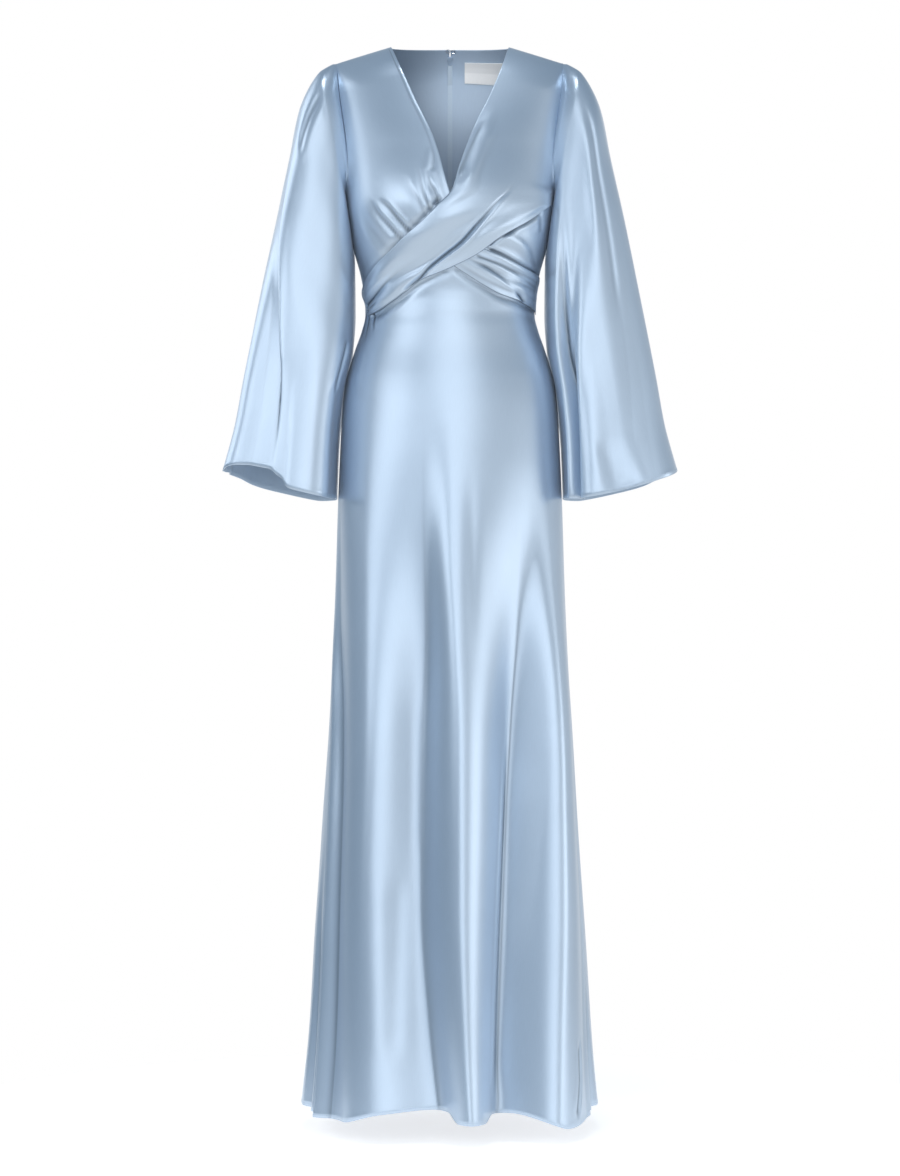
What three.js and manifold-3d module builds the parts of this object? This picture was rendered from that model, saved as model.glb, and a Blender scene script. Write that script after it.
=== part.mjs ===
// Wrap dress: floor-length gown, two crossing draped fronts, flared sleeves, centre-back zip.
// Millimetres. +X is the wearer's left, the front faces -Y, +Z is up, origin midway between the shoulders.
import * as THREE from 'three';
import { mergeVertices } from 'three/addons/utils/BufferGeometryUtils.js';
import Module from 'manifold-3d';

// Driving dimensions
const CLOTH = 1.4;
const SEAM = 0.5;
const ROUNDNESS = 0.85;
const RIDGE_Y = 5;
const NECK_POINT = 83;
const NECK_POINT_Z = 14;
const SHOULDER_SLOPE = 22 / 74;
const SHOULDER_ROUND = 55;
const BACK_NECK_Z = 19;
const WAIST_Z = -347;
const ZIP_END_Z = -527;
const ZIP_HALF_GAP = 1.0;
const ZIP_STRIP_WIDTH = 7;
const UNDER_BAND_LIFT = 3.4;
const UNDER_BAND_SEAM_LIFT = 1.7;
const SIDE_ANGLE = 89.93;
const SLEEVE_START = 0.7;
const SLEEVE_CLEARANCE = 3.2;
const SLEEVE_TURN = 0.1;
const SLEEVE_SPREAD = 1.1;
const INSIDE_GAP = 1.6;
const WAIST_GAP = 0.8;
const BAND_CLOTH = 1.2;
const BACK_GRID = { across: 13, along: 16, spread: 1.3 };
const FOLD_SOFTNESS = 1.4;
const SLIDER_Z = 7.5;
const SLIDER = { width: 7.6, up: 6.3, down: 6.7, inner: -5.6, outer: -2.9, neck: 1.2 };
const BAIL = { out: 2.6, outer: 2.0, hole: 1.0 };
const TAB = { length: 21, top: 4.4, bottom: 6, thick: 0.9, bar: 0.45, windowHalf: 1.1, windowEnd: 4.6 };
const HOOK_WIRE = 0.5;
// The label's place as shares of the back panel, from the centre line and from the neck
const LABEL = { u0: 0.1, u1: 0.378, v0: 0.08, v1: 0.189, gap: 0.7, thick: 0.8 };

// The trunk: half width and depths of the whole dress by height
const TRUNK = rows('z half front back', [
  [20, 178, 68, 73], [-10, 172, 80, 84], [-60, 165, 98, 95], [-130, 155, 120, 104],
  [-207, 148, 134, 104], [-256, 139, 124, 96], [-311, 124, 106, 88], [-347, 118.8, 99, 84],
  [-362, 118.5, 99, 85], [-384, 123.4, 101, 88], [-407, 131.5, 103, 92], [-433, 140, 106, 98],
  [-453, 145.6, 108.5, 103], [-484, 149.8, 112, 110], [-538, 153, 116, 118],
  [-619, 156.5, 121, 122], [-760, 161, 130, 128], [-984, 173, 147, 142], [-1208, 188, 164, 159],
  [-1376, 199, 177, 173], [-1480, 209, 189, 186],
]);

// Armhole and side seam, from shoulder tip to waist: angle from the centre line and height
const SIDE_EDGE = rows('v phi z', [
  [0, 66.8, -10], [1, 68.3, -36], [2, 68.6, -72], [3, 68.3, -108], [4, 68.3, -142],
  [5, 70, -172], [6, 77, -193], [7, SIDE_ANGLE, -206], [8, SIDE_ANGLE, -262], [9, SIDE_ANGLE, -346],
]);
const ARMPIT = 7;
const EDGE_END = SIDE_EDGE.length - 1;

// Under wrap: its neck edge from the shoulder to the tucked end
const UNDER_NECK = rows('v phi z sag', [
  [0, 28.1, 14, 0], [1, 25.3, -12, 0], [2, 21, -44, 0], [3, 16.6, -75, 0], [4, 12.1, -102, 0],
  [5, 8.4, -126.5, 0], [6, 5.6, -150.5, 0], [7, 2.7, -180, 0], [8, 0, -204, 2], [9, -4, -228, 26],
]);

// Over wrap: neck edge then upper band edge, and how far the cloth lifts off the trunk
const OVER_UPPER = rows('v phi z lift', [
  [0, 28.1, 14, 0], [1, 25, -23, 0], [2, 19, -68.8, 0], [3, 13.6, -101, 0.5], [4, 9, -132, 1.5],
  [5, 4.6, -167, 3], [6, 0.8, -200, 5], [7, -7, -221.7, 6.5], [8, -15, -241.5, 7.6], [9, -24.5, -259.5, 8.4],
  [10, -37, -281, 8.4], [11, -50, -297, 7.6], [12, -62, -311.5, 6.6], [13, -73, -323, 5.6],
  [14, -82, -333, 4.8], [15, -84, -346, 4.2],
]);
// Its lower band edge, from the armpit to the gathered end at the right waist
const OVER_LOWER = rows('v phi z', [
  [6, SIDE_ANGLE, -206], [7, 68, -214], [8, 46, -240], [9, 30, -261], [10, 15.5, -287], [11, -1, -306],
  [12, -20, -323], [13, -37, -345], [14, -56, -361], [15, -70, -365.5],
]);
const OVER_ARMPIT = 6;
// Where the over wrap lies flat for a seam: from this share across down to the armpit, and past this angle
const OVER_FLAT = { across: 0.5, run: 0.4, row: 5, phi: 60, turn: 16 };
const TUCK_RISE = 2;

// Folds along the over wrap: place across it, width, height, and the stretch of it they run along
const OVER_FOLDS = rows('at0 at1 width height from to', [
  [0.10, 0.06, 0.10, 2.4, 1.5, 7], [0.08, 0.18, 0.20, 4.4, 6.5, 12.5], [0.58, 0.46, 0.10, -4, 5.2, 12.5],
  [0.70, 0.74, 0.20, 3.6, 6.5, 12.5],
]);

// Plain side front below the over wrap: its top edge
const SIDE_TOP = rows('phi z', [
  [2, -284], [12, -274], [21, -260], [32, -240], [41, -229], [51, -219], [62, -212.5], [75, -212.5], [90, -216],
]);

// Under band: upper and lower edge from its hidden end to the side seam
const UNDER_BAND = rows('v phi z phiOut zOut', [
  [0, 8, -268, -2, -296], [1, 20.6, -279, 9, -311.5], [2, 32, -287, 22.6, -328], [3, 44.6, -296, 35, -339],
  [4, 58, -303.5, 50, -346], [5, 74, -308.5, 66, -353], [6, SIDE_ANGLE, -313, SIDE_ANGLE, -361],
]);
const BAND_FOLDS = rows('at0 at1 width height from to', [
  [0.10, 0.16, 0.16, 2.0, 0.5, 8], [0.36, 0.42, 0.08, -1.2, 0.5, 8], [0.66, 0.62, 0.20, 2.4, 0.5, 8],
]);

const HEM_Z = -1464;
const SKIRT_ROWS = 16;
const SKIRT_SPREAD = 1.4;

// Skirt: its top line, hem line, and the front folds
const SKIRT_TOP = rows('phi z', [
  [-90, -347], [-64, -332], [-43.5, -313], [-25, -293], [0, -284], [13, -297], [32, -315], [57, -330], [90, -347],
]);
const FRONT_HEM = rows('phi z', [
  [-90, -1460], [-66, -1470], [-46, -1470], [-27, -1456], [-7.5, -1450], [-1, -1452], [3, -1466], [14, -1467],
  [19, -1458], [28, -1457], [46, -1477], [66, -1470], [80, -1463], [90, -1460],
]);
const BACK_HEM = rows('phi z', [
  [-115, -1463], [-90, -1460], [-60, -1468], [-30, -1464], [0, -1470], [30, -1463], [60, -1469],
  [90, -1460], [112, -1463],
]);
const SIDE_SEAMS = rows('z right left', [
  [-300, -SIDE_ANGLE, SIDE_ANGLE], [-760, -SIDE_ANGLE, SIDE_ANGLE], [-930, -76, 86],
  [-1100, -70, 80], [-1300, -67, 74], [-1480, -65, 68],
]);
const FRONT_FOLDS = rows('top hem width depth from full', [
  [-11, 0.5, 8, -24, -540, -1150], [-33, -28, 13, 10, -620, -1300], [-57, -55, 8, -15, -480, -1150],
  [10, 12, 7, 9, -640, -1250], [40, 36, 11, -18, -640, -1250], [58, 21, 5, 8, -900, -1300],
  [70, 64, 8, 6, -700, -1300],
]);
const BACK_FOLDS = rows('top hem width depth from full', [
  [-58, -62, 11, -15, -560, -1250], [-34, -36, 11, 10, -600, -1300], [-16, -14, 9, -17, -620, -1250],
  [9, 7, 10, 9, -600, -1300], [28, 30, 9, -18, -560, -1200], [52, 50, 11, 10, -620, -1300],
  [70, 72, 8, -10, -700, -1300], [-112, -107, 6, -12, -1000, -1350], [112, 106, 6, -12, -1000, -1350],
]);

// Sleeve sections from armhole to hem: outer point, inner point, half depths
const SLEEVE = rows('s outX outZ inX inZ front back', [
  [0.05, 170, -11, 145, -209, 61, 61], [0.12, 187.5, -30, 139, -226, 65, 66], [0.22, 209.5, -74, 135, -254, 70, 74],
  [0.35, 224, -142, 133, -300, 76, 82], [0.5, 243, -225, 132.5, -360, 81, 89], [0.65, 264.5, -330, 136, -412, 84, 94],
  [0.8, 288, -450, 148, -480, 87, 98], [0.9, 300, -515, 155, -540, 90, 102], [1, 317.5, -579, 158.5, -618, 94, 106],
]);
const SLEEVE_SQUARE = 0.72;
const HEM_DIP = 9;
// Sleeve folds: angle round the sleeve (0 outer, 90 front, 180 inner), width, depth, where they begin
const RIGHT_SLEEVE_FOLDS = rows('at width depth from', [
  [72, 15, -14, 0.25], [104, 12, 12, 0.25], [38, 12, 6, 0.4], [136, 12, -5, 0.4],
  [228, 16, -12, 0.3], [268, 14, 8, 0.35], [312, 15, -9, 0.4],
]);
const LEFT_SLEEVE_FOLDS = rows('at width depth from', [
  [138, 9, -24, 0.2], [114, 12, 10, 0.3], [80, 13, -8, 0.5], [46, 14, 7, 0.4],
  [226, 15, -10, 0.3], [262, 15, 9, 0.35], [306, 15, -11, 0.4],
]);

const MATERIALS = {
  satin: { color: 0xa9c6e0, roughness: 0.38, metalness: 0 },
  tape: { color: 0xa3bfd8, roughness: 0.7, metalness: 0 },
  metal: { color: 0xb9bcc0, roughness: 0.3, metalness: 1 },
  label: { color: 0xf4f4f2, roughness: 0.8, metalness: 0 },
};

// Small helpers
function rows(names, values) {
  const keys = names.split(' ');
  return values.map((row) => Object.fromEntries(keys.map((key, i) => [key, row[i]])));
}

function clamp(value, low, high) {
  return Math.min(high, Math.max(low, value));
}

function mix(a, b, t) {
  return a + (b - a) * t;
}

function ease(t) {
  const c = clamp(t, 0, 1);
  return c * c * (3 - 2 * c);
}

function bump(t) {
  return Math.abs(t) < 1 ? (1 + Math.cos(Math.PI * t)) / 2 : 0;
}

function sinDeg(angle) {
  return Math.sin((angle * Math.PI) / 180);
}

function cosDeg(angle) {
  return Math.cos((angle * Math.PI) / 180);
}

// Smooth curve through a table's column that never overshoots it
function curve(table, key, value) {
  const sorted = [...table].sort((a, b) => a[key] - b[key]);
  const x = sorted.map((row) => row[key]);
  const y = sorted.map((row) => row[value]);
  const h = x.slice(1).map((end, i) => end - x[i]);
  const d = h.map((step, i) => (y[i + 1] - y[i]) / step);
  const slope = x.map((_, i) => {
    if (i === 0) return d[0];
    if (i === d.length) return d[i - 1];
    if (d[i - 1] * d[i] <= 0) return 0;
    const w1 = 2 * h[i] + h[i - 1];
    const w2 = h[i] + 2 * h[i - 1];
    return (w1 + w2) / (w1 / d[i - 1] + w2 / d[i]);
  });
  return (t) => {
    const c = clamp(t, x[0], x[x.length - 1]);
    let i = 0;
    while (i < h.length - 1 && c > x[i + 1]) i += 1;
    const s = (c - x[i]) / h[i];
    const r = 1 - s;
    return (1 + 2 * s) * r * r * y[i] + s * r * r * h[i] * slope[i]
      + s * s * (3 - 2 * s) * y[i + 1] - s * s * r * h[i] * slope[i + 1];
  };
}

const half = curve(TRUNK, 'z', 'half');
const front = curve(TRUNK, 'z', 'front');
const back = curve(TRUNK, 'z', 'back');

// The trunk's surface: angle 0 is the front centre line, 90 the wearer's left side
function shoulderLine(x) {
  return NECK_POINT_Z - (Math.abs(x) - NECK_POINT) * SHOULDER_SLOPE;
}

function shoulderZ(phi) {
  let z = 0;
  for (let i = 0; i < 8; i += 1) z = shoulderLine(half(z) * sinDeg(phi));
  return z;
}

function swell(x, z, off) {
  const drop = clamp((shoulderLine(x) + off - z) / SHOULDER_ROUND, 0, 1);
  return Math.sqrt(1 - (1 - drop) ** 2);
}

function onTrunk(phi, z, off = 0, depth = 0) {
  const x = (half(z) + off + depth) * sinDeg(phi);
  const across = cosDeg(phi);
  const reach = Math.abs(across) ** ROUNDNESS;
  const y = across >= 0 ? -(front(z) + off + depth) * reach : (back(z) + off + depth) * reach;
  return new THREE.Vector3(x, RIDGE_Y + (y - RIDGE_Y) * swell(x, z, off), z);
}

// A surface point with its outward normal, from small steps of the surface function
function normalAt(point, u, v, closed, side) {
  const e = 1e-3;
  const u0 = closed ? u - e : Math.max(0, u - e);
  const u1 = closed ? u + e : Math.min(1, u + e);
  const along = point(u1, v).sub(point(u0, v));
  const down = point(u, Math.min(1, v + e)).sub(point(u, Math.max(0, v - e)));
  return along.cross(down).normalize().multiplyScalar(side);
}

// Cloth as a wall: the outer skin of a surface function and the same skin moved in
function wallGeometry(point, across, along, options) {
  const { closed = false, side = 1, thick = CLOTH } = options;
  const us = Array.from({ length: closed ? across : across + 1 }, (_, i) => i / across);
  const vs = Array.from({ length: along + 1 }, (_, i) => i / along);
  const skins = [[], []];
  for (const v of vs) {
    for (const u of us) {
      const outer = point(u, v);
      const inner = outer.clone().addScaledVector(normalAt(point, u, v, closed, side), -thick);
      skins[0].push(outer);
      skins[1].push(inner);
    }
  }
  const n = us.length;
  const total = n * vs.length;
  const index = [];
  const quad = (a, b, c, d) => index.push(a, b, c, a, c, d);
  const next = (i) => (i + 1) % n;
  for (let j = 0; j < along; j += 1) {
    for (let i = 0; i < across; i += 1) {
      const a = j * n + i;
      const b = j * n + next(i);
      const c = (j + 1) * n + next(i);
      const d = (j + 1) * n + i;
      quad(a, b, c, d);
      quad(total + a, total + d, total + c, total + b);
    }
  }
  for (let i = 0; i < across; i += 1) {
    const a = i;
    const b = next(i);
    quad(a, total + a, total + b, b);
    const last = along * n;
    quad(last + a, last + b, total + last + b, total + last + a);
  }
  if (!closed) {
    for (let j = 0; j < along; j += 1) {
      const a = j * n;
      const b = (j + 1) * n;
      quad(a, b, total + b, total + a);
      quad(a + across, total + a + across, total + b + across, b + across);
    }
  }
  if (side < 0) index.reverse();
  const geometry = new THREE.BufferGeometry();
  geometry.setFromPoints([...skins[0], ...skins[1]]);
  geometry.setIndex(index);
  geometry.computeVertexNormals();
  return geometry;
}

function named(name, geometry, kind) {
  const mesh = new THREE.Mesh(geometry, new THREE.MeshStandardMaterial(MATERIALS[kind]));
  mesh.name = name;
  return mesh;
}

function wall(name, point, across, along, options = {}) {
  return named(name, wallGeometry(point, across, along, options), options.kind ?? 'satin');
}

function foldHeight(folds, u, v) {
  return folds.reduce((sum, fold) => {
    const run = clamp((v - fold.from) / (fold.to - fold.from), 0, 1);
    const grown = ease((v - fold.from) / 1.5) * (1 - ease((v - fold.to) / 1.5));
    return sum + fold.height * grown * bump((u - mix(fold.at0, fold.at1, run)) / fold.width);
  }, 0);
}

// Upper front and back panels between a centre edge and the armhole and side seam
const edgePhi = curve(SIDE_EDGE, 'v', 'phi');
const edgeZ = curve(SIDE_EDGE, 'v', 'z');

function topBow(phi, centrePhi, topLine, u) {
  return topLine(phi) - mix(topLine(centrePhi), topLine(SIDE_EDGE[0].phi), u);
}

function frontUnderWrap() {
  const phiIn = curve(UNDER_NECK, 'v', 'phi');
  const zIn = curve(UNDER_NECK, 'v', 'z');
  const sag = curve(UNDER_NECK, 'v', 'sag');
  const top = shoulderZ(UNDER_NECK[0].phi);
  const tip = shoulderZ(SIDE_EDGE[0].phi);
  const skirtTop = curve(SKIRT_TOP, 'phi', 'z');
  return wall('front_under_wrap', (u, v) => {
    const k = v * EDGE_END;
    const fade = 1 - ease(k);
    const phi = mix(phiIn(k), edgePhi(k), u);
    const inner = zIn(k) + (top - UNDER_NECK[0].z) * fade;
    const outer = edgeZ(k) + (tip - SIDE_EDGE[0].z) * fade;
    const z = mix(inner, outer, u) - 4 * u * (1 - u) * sag(k)
      + topBow(phi, UNDER_NECK[0].phi, shoulderZ, u) * fade;
    const lowest = skirtTop(-phi) + WAIST_GAP + TUCK_RISE * (EDGE_END - k);
    const point = onTrunk(-phi, Math.max(z, lowest));
    point.y -= SEAM * fade;
    return point;
  }, 14, 17, { side: 1 });
}

function frontOverWrap() {
  const phiIn = curve(OVER_UPPER, 'v', 'phi');
  const zIn = curve(OVER_UPPER, 'v', 'z');
  const phiLow = curve(OVER_LOWER, 'v', 'phi');
  const zLow = curve(OVER_LOWER, 'v', 'z');
  const lift = curve(OVER_UPPER, 'v', 'lift');
  const last = OVER_UPPER.length - 1;
  const top = shoulderZ(OVER_UPPER[0].phi);
  const tip = shoulderZ(SIDE_EDGE[0].phi);
  return wall('front_over_wrap', (u, v) => {
    const k = v * last;
    const fade = 1 - ease(k);
    const armhole = Math.min(k, OVER_ARMPIT) * ARMPIT / OVER_ARMPIT;
    const phiOut = k < OVER_ARMPIT ? edgePhi(armhole) : phiLow(k);
    const zOut = k < OVER_ARMPIT ? edgeZ(armhole) : zLow(k);
    const phi = mix(phiIn(k), phiOut, u);
    const inner = zIn(k) + (top - OVER_UPPER[0].z) * fade;
    const outer = zOut + (tip - SIDE_EDGE[0].z) * fade;
    const z = mix(inner, outer, u) + (shoulderZ(phi) - mix(top, tip, u)) * fade;
    const atArmhole = ease((u - OVER_FLAT.across) / OVER_FLAT.run) * (1 - ease(k - OVER_FLAT.row));
    const seamed = Math.max(atArmhole, ease((phi - OVER_FLAT.phi) / OVER_FLAT.turn));
    const fold = foldHeight(OVER_FOLDS, u, k);
    const raise = Math.max(0, (lift(k) + fold) * (1 - seamed));
    const point = onTrunk(phi, z, raise);
    point.y -= SEAM * fade;
    return point;
  }, 17, 30, { side: -1, thick: BAND_CLOTH });
}

function frontSide() {
  const top = curve(SIDE_TOP, 'phi', 'z');
  const bottom = curve(SKIRT_TOP, 'phi', 'z');
  return wall('front_side', (u, v) => {
    const phi = mix(SIDE_TOP[0].phi, SIDE_ANGLE, u);
    return onTrunk(phi, mix(top(phi), bottom(phi) + WAIST_GAP, v));
  }, 14, 6, { side: -1 });
}

function underBand() {
  const phiIn = curve(UNDER_BAND, 'v', 'phi');
  const zIn = curve(UNDER_BAND, 'v', 'z');
  const phiOut = curve(UNDER_BAND, 'v', 'phiOut');
  const zOut = curve(UNDER_BAND, 'v', 'zOut');
  const last = UNDER_BAND.length - 1;
  return wall('under_band', (u, v) => {
    const k = v * last;
    const seamed = ease(k - last + 1);
    const loose = UNDER_BAND_LIFT + Math.max(0, foldHeight(BAND_FOLDS, u, k));
    const raise = mix(loose, UNDER_BAND_SEAM_LIFT, seamed);
    return onTrunk(mix(phiIn(k), phiOut(k), u), mix(zIn(k), zOut(k), u), raise);
  }, 12, 14, { side: -1, thick: BAND_CLOTH });
}

function backNeckZ(phi) {
  const beta = Math.abs(phi);
  const hps = UNDER_NECK[0].phi;
  return beta < hps ? mix(BACK_NECK_Z, shoulderZ(hps), beta / hps) : shoulderZ(beta);
}

function backPoint(sign) {
  const tip = backNeckZ(SIDE_EDGE[0].phi);
  return (u, v) => {
    const k = EDGE_END * v ** BACK_GRID.spread;
    const fade = 1 - ease(k);
    const edge = edgePhi(k);
    const centre = (Math.asin(ZIP_HALF_GAP / half(0)) * 180) / Math.PI;
    const phi = mix(centre, edge, u);
    const inner = mix(BACK_NECK_Z, WAIST_Z + WAIST_GAP, k / EDGE_END);
    const outer = edgeZ(k) + (tip - SIDE_EDGE[0].z) * fade;
    const z = mix(inner, outer, u) + (backNeckZ(phi) - mix(BACK_NECK_Z, tip, u)) * fade;
    const point = onTrunk(180 - sign * phi, z);
    const onShoulder = ease((phi - UNDER_NECK[0].phi + 4) / 4);
    point.y += SEAM * fade * onShoulder;
    return point;
  };
}

function backPanel(name, sign) {
  return wall(name, backPoint(sign), BACK_GRID.across, BACK_GRID.along, { side: sign });
}

// Skirt panels
const rightSeam = curve(SIDE_SEAMS, 'z', 'right');
const leftSeam = curve(SIDE_SEAMS, 'z', 'left');

function skirtDepth(folds, phi, z) {
  return folds.reduce((sum, fold) => {
    const grown = ease((fold.from - z) / (fold.from - fold.full));
    const run = clamp((fold.from - z) / (fold.from + 1460), 0, 1);
    return sum + fold.depth * grown * bump((phi - mix(fold.top, fold.hem, run)) / fold.width / FOLD_SOFTNESS);
  }, 0);
}

function skirtFront() {
  const top = curve(SKIRT_TOP, 'phi', 'z');
  const hem = curve(FRONT_HEM, 'phi', 'z');
  return wall('skirt_front', (u, v) => {
    const down = v ** SKIRT_SPREAD;
    const level = mix(WAIST_Z, HEM_Z, down);
    const phi = mix(rightSeam(level), leftSeam(level), u);
    const z = mix(top(mix(-90, 90, u)), hem(phi), down);
    return onTrunk(phi, z, 0, skirtDepth(FRONT_FOLDS, phi, z));
  }, 40, SKIRT_ROWS, { side: -1 });
}

function skirtBack(name, sign) {
  const hem = curve(BACK_HEM, 'phi', 'z');
  const seam = sign > 0 ? leftSeam : rightSeam;
  return wall(name, (u, v) => {
    const down = v ** SKIRT_SPREAD;
    const level = mix(WAIST_Z, HEM_Z, down);
    const turned = SIDE_ANGLE - Math.abs(seam(level));
    const side = SIDE_ANGLE + turned - 0.2 * ease(turned / 4);
    const gap = mix(SEAM * 0.7, ZIP_HALF_GAP, ease((level - ZIP_END_Z) / 20));
    const centre = (Math.asin(gap / half(level)) * 180) / Math.PI;
    const beta = mix(centre, side, u);
    const z = mix(WAIST_Z, hem(sign * beta), down);
    const depth = skirtDepth(BACK_FOLDS, sign * beta, z) * ease((beta - 1) / 6);
    return onTrunk(180 - sign * beta, z, 0, depth);
  }, 22, SKIRT_ROWS, { side: sign });
}

// Sleeves: rings that turn from the armhole to a level hem, kept clear of the trunk
function armholePoint(theta, sign, lift) {
  const k = (theta <= 180 ? theta : 360 - theta) / 180 * ARMPIT;
  const phi = edgePhi(k);
  const tip = shoulderZ(SIDE_EDGE[0].phi);
  const z = edgeZ(k) + (tip - SIDE_EDGE[0].z) * (1 - ease(k));
  const point = onTrunk(sign * (theta <= 180 ? phi : 180 - phi), z, lift);
  point.x += sign * lift;
  return point;
}

function rounded(value) {
  return Math.sign(value) * Math.abs(value) ** SLEEVE_SQUARE;
}

function sleeveRing(row, theta, sign) {
  const c = rounded(cosDeg(theta));
  const s = rounded(sinDeg(theta));
  const x = (row.outX + row.inX) / 2 + c * (row.outX - row.inX) / 2;
  const z = (row.outZ + row.inZ) / 2 + c * (row.outZ - row.inZ) / 2;
  return new THREE.Vector3(sign * x, s > 0 ? -row.front * s : -row.back * s, z);
}

function keepClear(point, margin) {
  const g = Math.max(0.05, swell(point.x, point.z, 0));
  const y = RIDGE_Y * (1 - 1 / g) + point.y / g;
  const deep = (y < 0 ? front(point.z) : back(point.z)) + margin;
  const across = Math.min(1, Math.abs(y) / deep) ** (1 / ROUNDNESS);
  const least = (half(point.z) + margin) * Math.sqrt(1 - across * across);
  if (Math.abs(point.x) < least) point.x = Math.sign(point.x) * least;
  return point;
}

function sleeveFold(folds, theta, s) {
  return folds.reduce((sum, fold) => {
    const grown = ease((s - fold.from) / (1 - fold.from) * 1.2);
    return sum + fold.depth * grown * bump((theta - fold.at) / fold.width / FOLD_SOFTNESS);
  }, 0);
}

function sleeve(name, sign, folds) {
  const keys = ['outX', 'outZ', 'inX', 'inZ', 'front', 'back'];
  const lines = Object.fromEntries(keys.map((key) => [key, curve(SLEEVE, 's', key)]));
  const point = (u, v) => {
    const theta = (((u % 1) + 1) % 1) * 360;
    const s = v ** SLEEVE_SPREAD;
    const start = armholePoint(theta, sign, SLEEVE_START);
    const row = Object.fromEntries(keys.map((key) => [key, lines[key](s)]));
    const ring = sleeveRing(row, theta, sign);
    const blend = ease(s / SLEEVE_TURN);
    const middle = new THREE.Vector3(sign * (row.outX + row.inX) / 2, 0, (row.outZ + row.inZ) / 2);
    const depth = sleeveFold(folds, theta, s);
    const away = ring.clone().sub(middle).setZ(0).normalize();
    ring.addScaledVector(away, depth);
    ring.z -= HEM_DIP * ease((s - 0.8) / 0.2) * sinDeg(theta) ** 2;
    const placed = start.lerp(ring, blend);
    return keepClear(placed, mix(SLEEVE_START, SLEEVE_CLEARANCE, ease(s / SLEEVE_TURN * 2)));
  };
  return wall(name, point, 34, 15, { closed: true, side: -sign });
}

// Zip strip, label, hook and eye inside the centre back
function zipStrip() {
  const inset = -(CLOTH + INSIDE_GAP);
  return wall('zip_strip', (u, v) => {
    const z = mix(-0.5, ZIP_END_Z - 8, v);
    const phi = 180 + (Math.asin(mix(-1, 1, u) * ZIP_STRIP_WIDTH / 2 / half(z)) * 180) / Math.PI;
    return onTrunk(phi, z, inset);
  }, 2, 20, { side: -1, thick: 1.2, kind: 'tape' });
}

// The flat facets between a surface function's grid points
function facets(point, across, along) {
  return (u, v) => {
    const i = Math.min(across - 1, Math.floor(u * across));
    const j = Math.min(along - 1, Math.floor(v * along));
    const near = point(i / across, j / along).lerp(point((i + 1) / across, j / along), u * across - i);
    const far = point(i / across, (j + 1) / along).lerp(point((i + 1) / across, (j + 1) / along), u * across - i);
    return near.lerp(far, v * along - j);
  };
}

function labelPatch() {
  const panel = facets(backPoint(1), BACK_GRID.across, BACK_GRID.along);
  return wall('label', (u, v) => {
    const across = mix(LABEL.u0, LABEL.u1, u);
    const down = mix(LABEL.v0, LABEL.v1, v);
    const out = normalAt(panel, across, down, false, 1);
    return panel(across, down).addScaledVector(out, -(CLOTH + LABEL.gap));
  }, 8, 4, { side: 1, thick: LABEL.thick, kind: 'label' });
}

// A frame on the back's centre line: across, up along the cloth, and out of it
function backFrame(z) {
  const origin = onTrunk(180, z);
  const up = onTrunk(180, z + 5).sub(onTrunk(180, z - 5)).normalize();
  const out = new THREE.Vector3(-1, 0, 0).cross(up).normalize();
  return (x, a, n) => origin.clone().add(new THREE.Vector3(x, 0, 0)).addScaledVector(up, a).addScaledVector(out, n);
}

function movedTo(geometry, place) {
  const moved = geometry.clone();
  const position = moved.getAttribute('position');
  for (let i = 0; i < position.count; i += 1) {
    const point = place(position.getX(i), position.getY(i), position.getZ(i));
    position.setXYZ(i, point.x, point.y, point.z);
  }
  moved.deleteAttribute('uv');
  moved.computeVertexNormals();
  return moved;
}

// A flat outline with an optional hole, drawn in two axes and thickened along the third
function plate(outline, hole, from, to) {
  const shape = new THREE.Shape(outline.map(([x, y]) => new THREE.Vector2(x, y)));
  if (hole) shape.holes.push(new THREE.Path(hole.map(([x, y]) => new THREE.Vector2(x, y))));
  const made = new THREE.ExtrudeGeometry(shape, { depth: to - from, bevelEnabled: false, curveSegments: 8 });
  return made.translate(0, 0, from);
}

function circle(cx, cy, radius, from, to, steps) {
  return Array.from({ length: steps + 1 }, (_, i) => {
    const angle = mix(from, to, i / steps);
    return [cx + radius * cosDeg(angle), cy + radius * sinDeg(angle)];
  });
}

const wasm = await Module();
wasm.setup();

function solidOf(geometry) {
  const plain = geometry.clone();
  plain.deleteAttribute('normal');
  plain.deleteAttribute('uv');
  const merged = mergeVertices(plain, 1e-4);
  return new wasm.Manifold(new wasm.Mesh({
    numProp: 3,
    vertProperties: merged.getAttribute('position').array,
    triVerts: new Uint32Array(merged.index.array),
  }));
}

function joined(first, second) {
  const mesh = solidOf(first).add(solidOf(second)).getMesh();
  const geometry = new THREE.BufferGeometry();
  geometry.setAttribute('position', new THREE.BufferAttribute(new Float32Array(mesh.vertProperties), 3));
  geometry.setIndex(new THREE.BufferAttribute(new Uint32Array(mesh.triVerts), 1));
  return geometry;
}

// Slider: a shield inside the cloth, a neck through the opening and a ring outside for the tab
function zipSlider(place) {
  const w = SLIDER.width / 2;
  const shield = [
    [-w * 0.55, -SLIDER.down], [w * 0.55, -SLIDER.down], [w * 0.62, 0], [w, SLIDER.up * 0.45],
    [w * 0.8, SLIDER.up], [-w * 0.8, SLIDER.up], [-w, SLIDER.up * 0.45], [-w * 0.62, 0],
  ];
  const body = plate(shield, null, SLIDER.inner, SLIDER.outer);
  const profile = [
    [-2.4, SLIDER.outer - 0.6], [2.4, SLIDER.outer - 0.6], [BAIL.outer, 0.4],
    ...circle(0, BAIL.out, BAIL.outer, 0, 180, 10), [-BAIL.outer, 0.4],
  ];
  const hole = circle(0, BAIL.out, BAIL.hole, 360, 30, 11);
  const ring = plate(profile, hole, -SLIDER.neck / 2, SLIDER.neck / 2);
  const turned = movedTo(ring, (a, n, x) => new THREE.Vector3(x, a, n));
  return named('zip_slider', movedTo(joined(body, turned), (x, a, n) => place(-x, a, n)), 'metal');
}

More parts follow.
